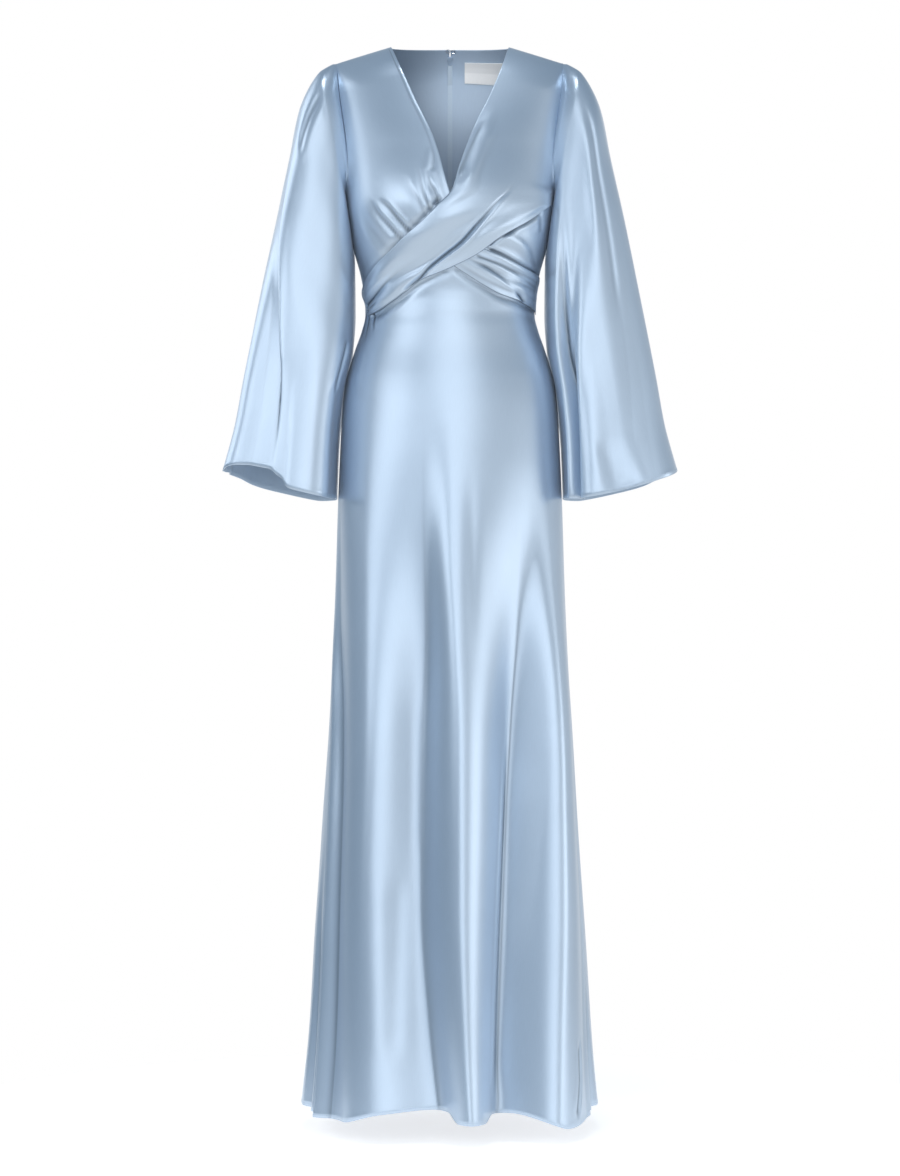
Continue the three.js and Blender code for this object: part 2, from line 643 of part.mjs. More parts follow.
// Pull tab: a flat drop whose top bar passes through the slider's ring
function tabFrame(place) {
  const pivot = place(0, 0, BAIL.out);
  const tip = onTrunk(180, pivot.z - TAB.length);
  tip.y += TAB.thick / 2 + 1.2;
  const down = tip.sub(pivot).setX(0).normalize();
  const out = down.clone().cross(new THREE.Vector3(1, 0, 0)).normalize().negate();
  return (x, w, n) => pivot.clone().add(new THREE.Vector3(x, 0, 0)).addScaledVector(down, w).addScaledVector(out, n);
}

function zipPullTab(place) {
  const { length, top, bottom, bar, windowHalf, windowEnd, thick } = TAB;
  const outline = [
    [-top / 2, -bar], [top / 2, -bar], [top / 2, windowEnd + 1.5], [bottom / 2, length - 5],
    [bottom / 2, length - 2], [bottom / 3, length], [-bottom / 3, length], [-bottom / 2, length - 2],
    [-bottom / 2, length - 5], [-top / 2, windowEnd + 1.5],
  ];
  const hole = [[-windowHalf, bar], [-windowHalf, windowEnd], [windowHalf, windowEnd], [windowHalf, bar]];
  return named('zip_pull_tab', movedTo(plate(outline, hole, -thick / 2, thick / 2), tabFrame(place)), 'metal');
}

// A bent wire of even thickness, with flat ends or closed on itself
function wireGeometry(points, radius, closed) {
  const path = new THREE.CatmullRomCurve3(points, closed);
  const steps = points.length * 2;
  const sides = 6;
  const frames = path.computeFrenetFrames(steps, closed);
  const count = closed ? steps : steps + 1;
  const skin = [];
  for (let i = 0; i < count; i += 1) {
    const centre = path.getPointAt(i / steps);
    for (let j = 0; j < sides; j += 1) {
      const angle = (j / sides) * 360;
      skin.push(centre.clone().addScaledVector(frames.normals[i], radius * cosDeg(angle))
        .addScaledVector(frames.binormals[i], radius * sinDeg(angle)));
    }
  }
  const index = [];
  for (let i = 0; i < steps; i += 1) {
    for (let j = 0; j < sides; j += 1) {
      const a = i * sides + j;
      const b = i * sides + ((j + 1) % sides);
      const c = ((i + 1) % count) * sides + ((j + 1) % sides);
      const d = ((i + 1) % count) * sides + j;
      index.push(a, b, c, a, c, d);
    }
  }
  if (!closed) {
    const last = steps * sides;
    for (let j = 1; j < sides - 1; j += 1) {
      index.push(0, j + 1, j, last, last + j, last + j + 1);
    }
  }
  const geometry = new THREE.BufferGeometry();
  geometry.setFromPoints(skin);
  geometry.setIndex(index);
  geometry.computeVertexNormals();
  return geometry;
}

function eyeLoop(place) {
  const points = circle(-2.6, 1.2, 3, 0, 330, 11).map(([x, a]) => place(x, a, -4.6));
  return named('eye', wireGeometry(points, HOOK_WIRE, true), 'metal');
}

function hookWire(place) {
  const path = [
    [3.2, -3.4, -3.4], [6.6, -3.2, -3.4], [6.9, 0, -3.3], [5, 1.9, -3.2], [1.2, 2, -3.2], [-1.8, 1.9, -3.4],
    [-2.7, 1.8, -4.6], [-1.8, 1.7, -5.9], [0.6, 1.7, -6.0],
  ];
  return named('hook', wireGeometry(path.map(([x, a, n]) => place(x, a, n)), HOOK_WIRE, false), 'metal');
}

const dress = new THREE.Group();
dress.name = 'wrap_dress';
dress.add(
  frontOverWrap(),
  frontUnderWrap(),
  frontSide(),
  underBand(),
  backPanel('back_left', 1),
  backPanel('back_right', -1),
  skirtFront(),
  skirtBack('skirt_back_left', 1),
  skirtBack('skirt_back_right', -1),
  sleeve('sleeve_left', 1, LEFT_SLEEVE_FOLDS),
  sleeve('sleeve_right', -1, RIGHT_SLEEVE_FOLDS),
  zipStrip(),
  labelPatch(),
  zipSlider(backFrame(SLIDER_Z)),
  zipPullTab(backFrame(SLIDER_Z)),
  hookWire(backFrame(BACK_NECK_Z)),
  eyeLoop(backFrame(BACK_NECK_Z)),
);

export default dress;
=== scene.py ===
import math

import bpy
import numpy as np
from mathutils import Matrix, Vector


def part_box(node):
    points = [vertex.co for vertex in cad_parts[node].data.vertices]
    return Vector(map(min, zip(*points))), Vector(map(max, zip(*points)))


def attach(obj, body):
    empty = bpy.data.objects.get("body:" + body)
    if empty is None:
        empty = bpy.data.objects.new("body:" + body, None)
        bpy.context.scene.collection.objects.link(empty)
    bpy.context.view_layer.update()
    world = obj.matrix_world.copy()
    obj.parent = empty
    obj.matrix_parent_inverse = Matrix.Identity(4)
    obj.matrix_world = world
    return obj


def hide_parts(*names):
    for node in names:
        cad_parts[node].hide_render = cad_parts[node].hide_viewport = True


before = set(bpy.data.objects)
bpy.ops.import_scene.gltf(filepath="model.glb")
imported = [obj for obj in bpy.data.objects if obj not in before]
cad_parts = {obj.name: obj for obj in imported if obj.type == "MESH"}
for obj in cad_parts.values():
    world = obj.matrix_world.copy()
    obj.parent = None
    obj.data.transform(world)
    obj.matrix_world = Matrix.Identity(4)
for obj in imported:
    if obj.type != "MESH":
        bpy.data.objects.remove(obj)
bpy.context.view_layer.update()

bl_info = {
    "name": "Wrap dress",
    "version": (1, 0, 0),
    "blender": (4, 5, 0),
    "location": "3D View > Sidebar > Dress",
    "description": "Floor-length satin dress with two crossing draped fronts and flared sleeves",
    "category": "Add Mesh",
}

# Sizes are in millimetres, angles in degrees: 0 is the front centre line and 90 the wearer's left side
MM = 0.001
TINY = 1e-9
BODY = "dress"
SEAM = 0.5
ROUNDNESS = 0.85
RIDGE_Y = 5
NECK_POINT = 83
NECK_POINT_Z = 14
SHOULDER_SLOPE = 22 / 74
SHOULDER_ROUND = 55
BACK_NECK_Z = 19
WAIST_Z = -347
WAIST_GAP = 0.8
ZIP_END_Z = -527
ZIP_HALF_GAP = 1.0
HEM_Z = -1464
WAIST_FILL = 3.0
WAIST_FILL_HIGH = 75
WAIST_FILL_WIDE = 70
SIDE_ANGLE = 89.93
ARMPIT = 7


def columns(names, values):
    """A table with named columns, each an array."""
    return dict(zip(names.split(), np.array(values, float).T))


TRUNK = columns("z half front back", [
    [20, 178, 68, 73], [-10, 172, 80, 84], [-60, 165, 98, 95], [-130, 155, 120, 104],
    [-207, 148, 134, 104], [-256, 139, 124, 96], [-311, 124, 106, 88], [-347, 118.8, 99, 84],
    [-362, 118.5, 99, 85], [-384, 123.4, 101, 88], [-407, 131.5, 103, 92], [-433, 140, 106, 98],
    [-453, 145.6, 108.5, 103], [-484, 149.8, 112, 110], [-538, 153, 116, 118],
    [-619, 156.5, 121, 122], [-760, 161, 130, 128], [-984, 173, 147, 142], [-1208, 188, 164, 159],
    [-1376, 199, 177, 173], [-1480, 209, 189, 186],
])
SIDE_EDGE = columns("v phi z", [
    [0, 66.8, -10], [1, 68.3, -36], [2, 68.6, -72], [3, 68.3, -108], [4, 68.3, -142], [5, 70, -172],
    [6, 77, -193], [7, SIDE_ANGLE, -206], [8, SIDE_ANGLE, -262], [9, SIDE_ANGLE, -346],
])
UNDER_NECK = columns("v phi z sag", [
    [0, 28.1, 14, 0], [1, 25.3, -12, 0], [2, 21, -44, 0], [3, 16.6, -75, 0], [4, 12.1, -102, 0],
    [5, 8.4, -126.5, 0], [6, 5.6, -150.5, 0], [7, 2.7, -180, 0], [8, 0, -204, 2], [9, -4, -228, 26],
])
OVER_UPPER = columns("v phi z lift roll", [
    [0, 28.1, 14, 0, 0.5], [1, 25, -23, 0, 0.5], [2, 19, -68.8, 0.2, 0.5], [3, 13.6, -101, 0.8, 0.7],
    [4, 9, -132, 1.8, 1.0], [5, 4.6, -167, 3.2, 1.4], [6, 0.8, -200, 5, 1.9], [7, -7, -221.7, 6.5, 2.4],
    [8, -15, -241.5, 7.6, 2.8], [9, -24.5, -259.5, 8.2, 3], [10, -37, -281, 8.2, 3],
    [11, -50, -297, 7.6, 2.8], [12, -62, -311.5, 6.6, 2.6], [13, -73, -323, 5.6, 2.2],
    [14, -82, -333, 4.6, 1.6], [15, -85, -346, 3.2, 0.8],
])
OVER_LOWER = columns("v phi z", [
    [6, SIDE_ANGLE, -206], [7, 68, -214], [8, 46, -240], [9, 30, -261], [10, 15.5, -287], [11, -1, -306],
    [12, -20, -323], [13, -37, -345], [14, -56, -361], [15, -70, -365.5],
])
OVER_ARMPIT = 6
SIDE_TOP = columns("phi z", [
    [2, -284], [12, -274], [21, -260], [32, -240], [41, -229], [51, -219], [62, -212.5], [75, -212.5],
    [90, -216],
])
UNDER_BAND = columns("v phi z phiOut zOut", [
    [0, 8, -268, -2, -296], [1, 20.6, -279, 9, -311.5], [2, 32, -287, 22.6, -328],
    [3, 44.6, -296, 35, -339], [4, 58, -303.5, 50, -346], [5, 74, -308.5, 66, -353],
    [6, SIDE_ANGLE, -313, SIDE_ANGLE, -361],
])
SKIRT_TOP = columns("phi z", [
    [-90, -347], [-64, -332], [-43.5, -313], [-25, -293], [0, -284], [13, -297], [32, -315], [57, -330],
    [90, -347],
])
FRONT_HEM = columns("phi z", [
    [-90, -1460], [-66, -1470], [-46, -1470], [-27, -1456], [-7.5, -1450], [-1, -1452], [3, -1466],
    [14, -1467], [19, -1458], [28, -1457], [46, -1477], [66, -1470], [80, -1463], [90, -1460],
])
BACK_HEM = columns("phi z", [
    [-115, -1463], [-90, -1460], [-60, -1468], [-30, -1464], [0, -1470], [30, -1463], [60, -1469],
    [90, -1460], [112, -1463],
])
SIDE_SEAMS = columns("z right left", [
    [-300, -SIDE_ANGLE, SIDE_ANGLE], [-760, -SIDE_ANGLE, SIDE_ANGLE], [-930, -76, 86],
    [-1100, -70, 80], [-1300, -67, 74], [-1480, -65, 68],
])
# Front skirt folds by height: the angle of each hollow and crest from right side to left side
FRONT_WAVE = columns("z hollow1 crest1 hollow2 crest2 hollow3 crest3", [
    [-480, -84, -52, -15, 2, 40, 60], [-680, -80, -48, -14.5, 1, 40, 59],
    [-810, -77, -44, -14, 3, 40, 58], [-963, -73, -41, -15.5, 5, 37, 56],
    [-1167, -66, -40, -14.5, 5, 31, 52], [-1330, -60, -38, -10, 6, 26, 47],
    [-1480, -55, -36, -4, 7.5, 22, 42],
])
WAVE_SIZE = columns("depth start full", [
    [-14, -480, -1050], [6, -520, -1150], [-27, -450, -950], [13, -480, -950], [-38, -560, -1000],
    [19, -560, -1000],
])
BACK_FOLDS = columns("top hem width depth start full", [
    [-58, -62, 11, -15, -560, -1250], [-34, -36, 11, 10, -600, -1300], [-16, -14, 9, -17, -620, -1250],
    [9, 7, 10, 9, -600, -1300], [28, 30, 9, -18, -560, -1200], [52, 50, 11, 10, -620, -1300],
    [70, 72, 8, -10, -700, -1300], [-112, -107, 6, -12, -1000, -1350], [112, 106, 6, -12, -1000, -1350],
])
SLEEVE = columns("s outX outZ inX inZ front back", [
    [0.05, 170, -11, 145, -209, 61, 61], [0.12, 187.5, -30, 139, -226, 65, 66],
    [0.22, 209.5, -74, 135, -254, 70, 74], [0.35, 224, -142, 133, -300, 76, 82],
    [0.5, 243, -225, 132.5, -360, 81, 89], [0.65, 264.5, -330, 136, -412, 84, 94],
    [0.8, 288, -450, 148, -480, 87, 98], [0.9, 300, -515, 155, -540, 90, 102],
    [1, 317.5, -579, 158.5, -618, 94, 106],
])
SLEEVE_SQUARE = 0.58
SLEEVE_START = -0.4
SLEEVE_CLEARANCE = 3.2
TIP_FADE = 28
TIP_HELD = 0.2
LEAST_SWELL = 0.05
RISE_START = 0.7
DIP_START = 0.8
FOLD_GROWTH = 1.2
SLEEVE_TURN = 0.1
SLEEVE_SPREAD = 1.1
SLEEVE_RADIUS = (60, 85)
SLEEVE_DROP = 600
HEM_DIP = 9
# Sleeve folds: the angle at their start and at the hem, width, depth, and where they begin
RIGHT_SLEEVE_FOLDS = columns("top hem width depth start", [
    [24, 38, 24, 3, 0.35], [56, 66, 18, -2, 0.4], [112, 124, 20, 3, 0.35], [140, 156, 18, -3.5, 0.35],
    [228, 228, 20, -10, 0.3], [268, 268, 18, 7, 0.35], [312, 312, 19, -8, 0.4],
    [14, 12, 9, -4.5, 0.3], [347, 345, 8, -6, 0.25],
])
LEFT_SLEEVE_FOLDS = columns("top hem width depth start", [
    [96, 138, 12, -22, 0.15], [76, 110, 18, 6, 0.25], [56, 76, 20, -3, 0.4], [30, 40, 20, 3, 0.35],
    [226, 226, 19, -9, 0.3], [262, 262, 18, 8, 0.35], [306, 306, 19, -9, 0.4],
    [12, 14, 9, -5, 0.25], [346, 344, 8, -6, 0.3],
])


def ease(t):
    """Smooth step from 0 to 1."""
    c = np.clip(t, 0, 1)
    return c * c * (3 - 2 * c)


def mix(a, b, t):
    return a + (b - a) * t


def bump(t):
    """A round hill, 1 at t = 0 and 0 from |t| = 1 on."""
    return np.where(np.abs(t) < 1, (1 + np.cos(np.pi * np.clip(t, -1, 1))) / 2, 0)


def sin_deg(angle):
    return np.sin(np.radians(angle))


def cos_deg(angle):
    return np.cos(np.radians(angle))


def curve(table, key, value):
    """A smooth curve through a table's column that never overshoots it: cubic pieces whose slopes are
    harmonic means of the slopes beside them."""
    order = np.argsort(table[key])
    x = table[key][order]
    y = table[value][order]
    h = np.diff(x)
    d = np.diff(y) / h
    slope = np.concatenate([d[:1], np.zeros(len(x) - 2), d[-1:]])
    w1 = 2 * h[1:] + h[:-1]
    w2 = h[1:] + 2 * h[:-1]
    same = d[:-1] * d[1:] > 0
    before = np.where(same, d[:-1], 1)
    after = np.where(same, d[1:], 1)
    slope[1:-1] = np.where(same, (w1 + w2) / (w1 / before + w2 / after), 0)

    def at(t):
        c = np.clip(t, x[0], x[-1])
        i = np.clip(np.searchsorted(x, c, side="left") - 1, 0, len(h) - 1)
        s = (c - x[i]) / h[i]
        r = 1 - s
        low = (1 + 2 * s) * r * r * y[i] + s * r * r * h[i] * slope[i]
        high = s * s * (3 - 2 * s) * y[i + 1] - s * s * r * h[i] * slope[i + 1]
        return low + high

    return at


def row_at(table, value):
    """Every column of a table as a smooth curve of its first one, read at a value."""
    key, *others = table
    return {name: curve(table, key, name)(value) for name in others}


half = curve(TRUNK, "z", "half")
front = curve(TRUNK, "z", "front")
back = curve(TRUNK, "z", "back")
edge_phi = curve(SIDE_EDGE, "v", "phi")
edge_z = curve(SIDE_EDGE, "v", "z")
right_seam = curve(SIDE_SEAMS, "z", "right")
left_seam = curve(SIDE_SEAMS, "z", "left")
skirt_top = curve(SKIRT_TOP, "phi", "z")
EDGE_END = 9
SHAPES = {}
# Hems: doubled width, its fade, how proud it stands, and its line of stitches
HEM_WIDTH = 4.2
HEM_FADE = 1.5
HEM_RISE = 0.35
HEM_LINE = 3.2
HEM_GROOVE = 0.8
HEM_PITCH = 3.0
HEM_STITCH = 2.4
THREAD = 0.32
STITCH_RINGS = 5
STITCH_SIDES = 6
STITCH_TAPER = 0.8
STITCH_LIFT = 0.3
STITCH_SINK = 0.5
# Creases: steps of their lines, how far they are worked out, and where their crests lie, in widths
LINE_STEPS = 28
CREASE_REACH = 5
CREST_PLACE = 2
CREST_WIDTH = 1.1
FOLD_SPREAD = 1.4
# Slow unevenness: share of each wave, its wavelength across and down, and its phase
DRIFT = [[0.5, 31, 140, 0], [0.3, 17, -95, 1.3], [0.4, 53, 47, 4.1]]
# Painted shade darkens tight hollows and rims: distance looked over, rim columns, full depth, and where rims
# start
REACH = 3.0
SHADE_FULL_DEPTH = 1.2
RIM = 7
RIM_FADE = 0.06
OVER_RIM_START = 0.37
BAND_RIM_START = -0.1
# Strip edges: how proud a cut edge stands, how far a rolled one turns, and its steps
EDGE_PROUD = 0.35
ROLL_TURN = 150
ROLL_STEPS = 7
LOWER_ROLL = (0.4, 2.2)
LOWER_ROLL_START = 6.4
LOWER_ROLL_END = 13
BAND_ROLL = 1.4
BAND_LIFT = 3.4
BAND_END_LIFT = 1.7
EDGE_GROOVE = 0.02
SIDE_GROOVE = 0.7
NECK_BEAD = 0.4
# Where the over wrap lies flat to be sewn to the side seam, and how rows and columns are spread
SEWN_PHI = 60
SEWN_FADE = 16
UNDER_SPREAD = 1.1
BACK_SPREAD = 1.3
STRIP_FADE = 1.5
# Unevenness of each part
UNDER_DRIFT = 0.25
BACK_DRIFT = 0.5
SKIRT_DRIFT = 0.4
SKIRT_BACK_DRIFT = 0.9
SHOULDER_STEPS = 8


def shoulder_line(x):
    return NECK_POINT_Z - (np.abs(x) - NECK_POINT) * SHOULDER_SLOPE


def shoulder_z(phi):
    """Height of the shoulder line at an angle, found by stepping to the point that lies on both."""
    z = np.zeros_like(np.asarray(phi, float))
    for _ in range(SHOULDER_STEPS):
        z = shoulder_line(half(z) * sin_deg(phi))
    return z


def swell(x, z, off):
    """How much of its full depth the dress has just below the shoulder line: a quarter circle."""
    drop = np.clip((shoulder_line(x) + off - z) / SHOULDER_ROUND, 0, 1)
    return np.sqrt(1 - (1 - drop) ** 2)


def on_trunk(phi, z, off=0.0, depth=0.0):
    """Point of the dress at an angle and height: a rounded oval of the table's half width and depths,
    moved out by off and depth, and drawn in towards the shoulder line."""
    x = (half(z) + off + depth) * sin_deg(phi)
    across = cos_deg(phi)
    reach = np.abs(across) ** ROUNDNESS
    y = np.where(across >= 0, -(front(z) + off + depth) * reach, (back(z) + off + depth) * reach)
    return np.stack(np.broadcast_arrays(x, RIDGE_Y + (y - RIDGE_Y) * swell(x, z, off), z), axis=-1)


def grid(across, down, closed=False):
    """Parameters u across and v down, as two arrays with a row for each step down."""
    u = np.linspace(0, 1, across, endpoint=not closed)
    return np.meshgrid(u, np.linspace(0, 1, down))


def unit(vectors):
    length = np.linalg.norm(vectors, axis=-1, keepdims=True)
    return vectors / np.maximum(length, TINY)


def turned(points, closed):
    """Cross product of the steps across and down, as unit vectors."""
    if closed:
        along = np.roll(points, -1, axis=1) - np.roll(points, 1, axis=1)
    else:
        along = np.gradient(points, axis=1)
    return unit(np.cross(along, np.gradient(points, axis=0)))


def chart(phi, z):
    """Angle and height laid out flat: arc length across by the mean radius, and height."""
    radius = (half(z) + front(z)) / 2
    return np.stack([np.radians(phi) * radius, z], axis=-1)


def fine_line(points):
    """A smooth line of LINE_STEPS + 1 points through a short row of points."""
    t = np.arange(len(points), dtype=float)
    even = np.linspace(0, len(points) - 1, LINE_STEPS + 1)
    return np.stack([curve({"t": t, "c": column}, "t", "c")(even) for column in points.T], axis=-1)


def along_line(flat, line):
    """Signed distance to a line and the share of its length at the nearest point. The sign is positive
    to the right of the way that the line runs, seen from outside."""
    start = line[:-1]
    step = np.diff(line, axis=0)
    offset = flat[:, None, :] - start[None]
    share = np.clip((offset * step).sum(-1) / np.maximum((step * step).sum(-1), TINY), 0, 1)
    gap = offset - share[..., None] * step
    distance = np.hypot(gap[..., 0], gap[..., 1])
    nearest = distance.argmin(axis=1)
    rows = np.arange(len(flat))
    gap = gap[rows, nearest]
    step = step[nearest]
    sign = np.where(step[:, 0] * gap[:, 1] - step[:, 1] * gap[:, 0] > 0, -1, 1)
    return sign * distance[rows, nearest], (nearest + share[rows, nearest]) / len(start)


def crease(flat, line, depth, width, other, crest, other_crest, head, tail):
    """Height of one crease: a soft trough exp(-(d / w)^2) along a line, with a low crest on each side,
    fading in over its head and out over its tail. The width and crest are given for each side of it."""
    shape = flat.shape[:-1]
    flat = flat.reshape(-1, 2)
    line = fine_line(line)
    reach = CREASE_REACH * max(width, other)
    near = np.all((flat > line.min(0) - reach) & (flat < line.max(0) + reach), axis=1)
    height = np.zeros(len(flat))
    if near.any():
        d, share = along_line(flat[near], line)
        w = np.where(d > 0, width, other)
        c = np.where(d > 0, crest, other_crest)
        t = np.abs(d) / w
        ridge = c * np.exp(-((t - CREST_PLACE) / CREST_WIDTH) ** 2) * (1 - np.exp(-t * t))
        grown = ease(share / head) * ease((1 - share) / tail)
        height[near] = depth * grown * (ridge - np.exp(-t * t))
    return height.reshape(shape)


def creases(lay_flat, across, along, lines):
    """Sum of creases on a surface that lay_flat lays out, with their lines given by the same two measures."""
    flat = lay_flat(across, along)
    total = np.zeros(flat.shape[:-1])
    for shape, line in lines:
        total += crease(flat, lay_flat(*np.array(line, float).T), *shape)
    return total


def drift(phi, z, size):
    """Slow unevenness of hanging cloth: three crossing waves of different lengths."""
    flat = chart(phi, z)
    return size * sum(share * np.sin(flat[..., 0] / wide + flat[..., 1] / high + phase)
                      for share, wide, high, phase in DRIFT)


def painted_crease_shade(points, out, closed):
    """Painted shade in tight hollows, as a share at each point: how far it lies below the middle of its
    neighbours on either side, scaled to neighbours REACH away, over the depth at which the shade is full."""
    found = np.zeros(points.shape[:2])
    for axis in (0, 1):
        count = points.shape[axis]
        spacing = np.linalg.norm(np.diff(points, axis=axis), axis=-1).mean()
        step = max(1, int(round(REACH / spacing)))
        at = np.arange(count)
        wrapped = closed and axis == 1
        before = (at - step) % count if wrapped else np.maximum(at - step, 0)
        after = (at + step) % count if wrapped else np.minimum(at + step, count - 1)
        first = np.take(points, before, axis=axis)
        last = np.take(points, after, axis=axis)
        apart = np.linalg.norm(last - first, axis=-1) / 2
        depth = ((first + last) / 2 - points) * out
        near_end = (at < step) | (at >= count - step)
        inside = np.where(near_end & (not wrapped), 0, 1)
        inside = inside[:, None] if axis == 0 else inside[None, :]
        found = np.maximum(found, depth.sum(-1) * inside * (REACH / np.maximum(apart, REACH / 2)) ** 2)
    return np.clip(found / SHADE_FULL_DEPTH, 0, 1)


def lengths(points, closed):
    """Arc lengths across and down from the first row and column, in metres, one column more if closed."""
    if closed:
        points = np.concatenate([points, points[:, :1]], axis=1)
    across = np.linalg.norm(np.diff(points, axis=1), axis=-1).cumsum(axis=1)
    down = np.linalg.norm(np.diff(points, axis=0), axis=-1).cumsum(axis=0)
    across = np.concatenate([np.zeros((len(points), 1)), across], axis=1)
    down = np.concatenate([np.zeros((1, points.shape[1])), down], axis=0)
    return np.stack([across, down], axis=-1) * MM


def mesh_object(name, vertices, faces, kinds, uvs, materials):
    """A smooth mesh of four-sided faces, with a material number for each face and a place on the cloth
    for each corner."""
    mesh = bpy.data.meshes.new(name)
    mesh.vertices.add(len(vertices))
    mesh.vertices.foreach_set("co", (vertices * MM).astype(np.float32).ravel())
    mesh.loops.add(faces.size)
    mesh.loops.foreach_set("vertex_index", faces.astype(np.int32).ravel())
    mesh.polygons.add(len(faces))
    mesh.polygons.foreach_set("loop_start", np.arange(0, faces.size, 4, dtype=np.int32))
    mesh.polygons.foreach_set("material_index", kinds.astype(np.int32))
    mesh.polygons.foreach_set("use_smooth", np.ones(len(faces), bool))
    layer = mesh.uv_layers.new(name="cloth")
    mesh.update(calc_edges=True)
    layer.data.foreach_set("uv", uvs.astype(np.float32).ravel())
    mesh.validate()
    for material in materials:
        mesh.materials.append(material)
    made = bpy.data.objects.new(name, mesh)
    bpy.context.scene.collection.objects.link(made)
    return made


def edge_shade(points, start):
    """A painted shadow line along both long edges of a strip of cloth, from the start share of its length on.
    """
    down, across = points.shape[:2]
    i = np.arange(across)
    near = np.clip(1 - np.minimum(i, across - 1 - i) / RIM, 0, 1) ** 0.5
    return ease((np.linspace(0, 1, down) - start) / RIM_FADE)[:, None] * near


def cloth(name, points, thick, side, closed=False, shade=0):
    """Cloth as a thin closed shell: the outer skin, the same skin moved in by thick, and a round edge
    between them through a line half way that stands a little proud."""
    down, across = points.shape[:2]
    out = turned(points, closed) * side
    thick = np.broadcast_to(thick, (down, across))
    inner = points - out * thick[..., None]
    count = down * across
    corner = np.arange(count).reshape(down, across)
    place = lengths(points, closed)
    i = np.arange(across if closed else across - 1)
    j = np.arange(down - 1)[:, None]

    def cells(values, ahead, axis):
        """The values at the four corners of each cell of the grid."""
        return np.stack([values[j, i], values[j, ahead], values[j + 1, ahead], values[j + 1, i]], axis)

    quads = cells(corner, (i + 1) % across, -1).reshape(-1, 4)
    spots = cells(place, i + 1, -2).reshape(-1, 4, 2)
    if closed:
        loops = [np.append(corner[0], corner[0, 0]), np.append(corner[-1], corner[-1, 0])[::-1]]
    else:
        loops = [np.concatenate([corner[0], corner[1:, -1], corner[-1, -2::-1], corner[-2::-1, 0]])]
    faces = [quads, quads[:, ::-1] + count]
    uvs = [spots, spots[:, ::-1]]
    kinds = [np.zeros(len(quads)), np.ones(len(quads))]
    middles = []
    used = 2 * count
    flat_out, flat_in, flat_turn = (a.reshape(-1, 3) for a in (points, inner, out * side))
    flat_place = place[:, :across].reshape(-1, 2)
    for loop in loops:
        ring = loop[:-1]
        tangent = flat_out[np.roll(ring, -1)] - flat_out[np.roll(ring, 1)]
        proud = unit(np.cross(tangent, flat_turn[ring])) * (EDGE_PROUD * thick.reshape(-1)[ring])[:, None]
        middles.append((flat_out[ring] + flat_in[ring]) / 2 + proud)
        mid = used + np.arange(len(ring))
        used += len(ring)
        after = np.roll(ring, -1)
        mid_after = np.roll(mid, -1)
        faces.append(np.stack([ring, mid, mid_after, after], -1))
        faces.append(np.stack([mid, ring + count, after + count, mid_after], -1))
        spot = np.stack([flat_place[ring], flat_place[ring], flat_place[after], flat_place[after]], -2)
        uvs += [spot, spot]
        kinds += [np.zeros(len(ring)), np.zeros(len(ring))]
    faces = np.concatenate(faces)
    uvs = np.concatenate(uvs)
    if side < 0:
        faces = faces[:, ::-1]
        uvs = uvs[:, ::-1]
    vertices = np.concatenate([flat_out, flat_in, *middles])
    made = mesh_object(name, vertices, faces, np.concatenate(kinds), uvs, [satin(), satin_inside()])
    # Painted shade: a share for each outer point, from its tight hollow or from a strip's rim, by which the
    # satin's colour is darkened
    painted_shade = np.zeros(len(vertices), np.float32)
    painted_shade[:count] = np.maximum(painted_crease_shade(points, out, closed), shade).ravel()
    made.data.attributes.new("painted_shade", "FLOAT", "POINT").data.foreach_set("value", painted_shade)
    SHAPES[name] = (points, out, closed)
    return made


def stitches(name, line, out, pitch, length, thick=THREAD):
    """A row of stitches on a line: each is a round bar of the given length and thickness, centre + forward
    * length * t / 2 + (out * cos a + side * sin a) * thick / 2 * sqrt(1 - taper * t^2), sunk at its ends."""
    arc = np.append(0, np.linalg.norm(np.diff(line, axis=0), axis=1).cumsum())
    count = max(1, int(arc[-1] / pitch))
    at = (np.arange(count) + 0.5) * arc[-1] / count
    centre, outward, before, after = (
        np.stack([np.interp(place, arc, rows[:, c]) for c in range(3)], -1)
        for place, rows in ((at, line), (at, out), (at - length / 2, line), (at + length / 2, line)))
    forward = unit(after - before)
    outward = unit(outward)
    beside = np.cross(forward, outward)
    t = np.linspace(-1, 1, STITCH_RINGS)[None, :, None, None]
    angle = np.radians((np.arange(STITCH_SIDES) + 0.5) * 360 / STITCH_SIDES)[None, None, :, None]
    centre, outward, forward, beside = (a[:, None, None, :] for a in (centre, outward, forward, beside))
    radius = thick / 2 * np.sqrt(1 - STITCH_TAPER * t * t)
    around = (outward * np.cos(angle) + beside * np.sin(angle)) * radius
    lift = outward * thick * (STITCH_LIFT - STITCH_SINK * t * t)
    points = centre + forward * length / 2 * t + around + lift
    rings = np.arange(count * STITCH_RINGS * STITCH_SIDES).reshape(count, STITCH_RINGS, STITCH_SIDES)
    beside = np.roll(rings, 1, axis=2)
    sides = np.stack([rings[:, :-1], beside[:, :-1], beside[:, 1:], rings[:, 1:]], -1).reshape(-1, 4)
    caps = [rings[:, end][:, list(order)] for end, order in (
        (0, (0, 1, 2, 3)), (0, (0, 3, 4, 5)), (-1, (3, 2, 1, 0)), (-1, (5, 4, 3, 0)))]
    faces = np.concatenate([sides, *caps])
    made = mesh_object(name, points.reshape(-1, 3), faces, np.zeros(len(faces)),
                       np.zeros((len(faces), 4, 2)), [finish("thread")])
    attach(made, BODY)


def hem_stitches(name):
    """Stitches round a piece's hem, HEM_LINE above its last row."""
    points, out, closed = SHAPES[name]
    line = points[-1] + unit(points[-2] - points[-1]) * HEM_LINE
    normals = out[-1]
    if closed:
        line = np.concatenate([line, line[:1]])
        normals = np.concatenate([normals, normals[:1]])
    stitches(f"{name}_stitches", line, normals, HEM_PITCH, HEM_STITCH)


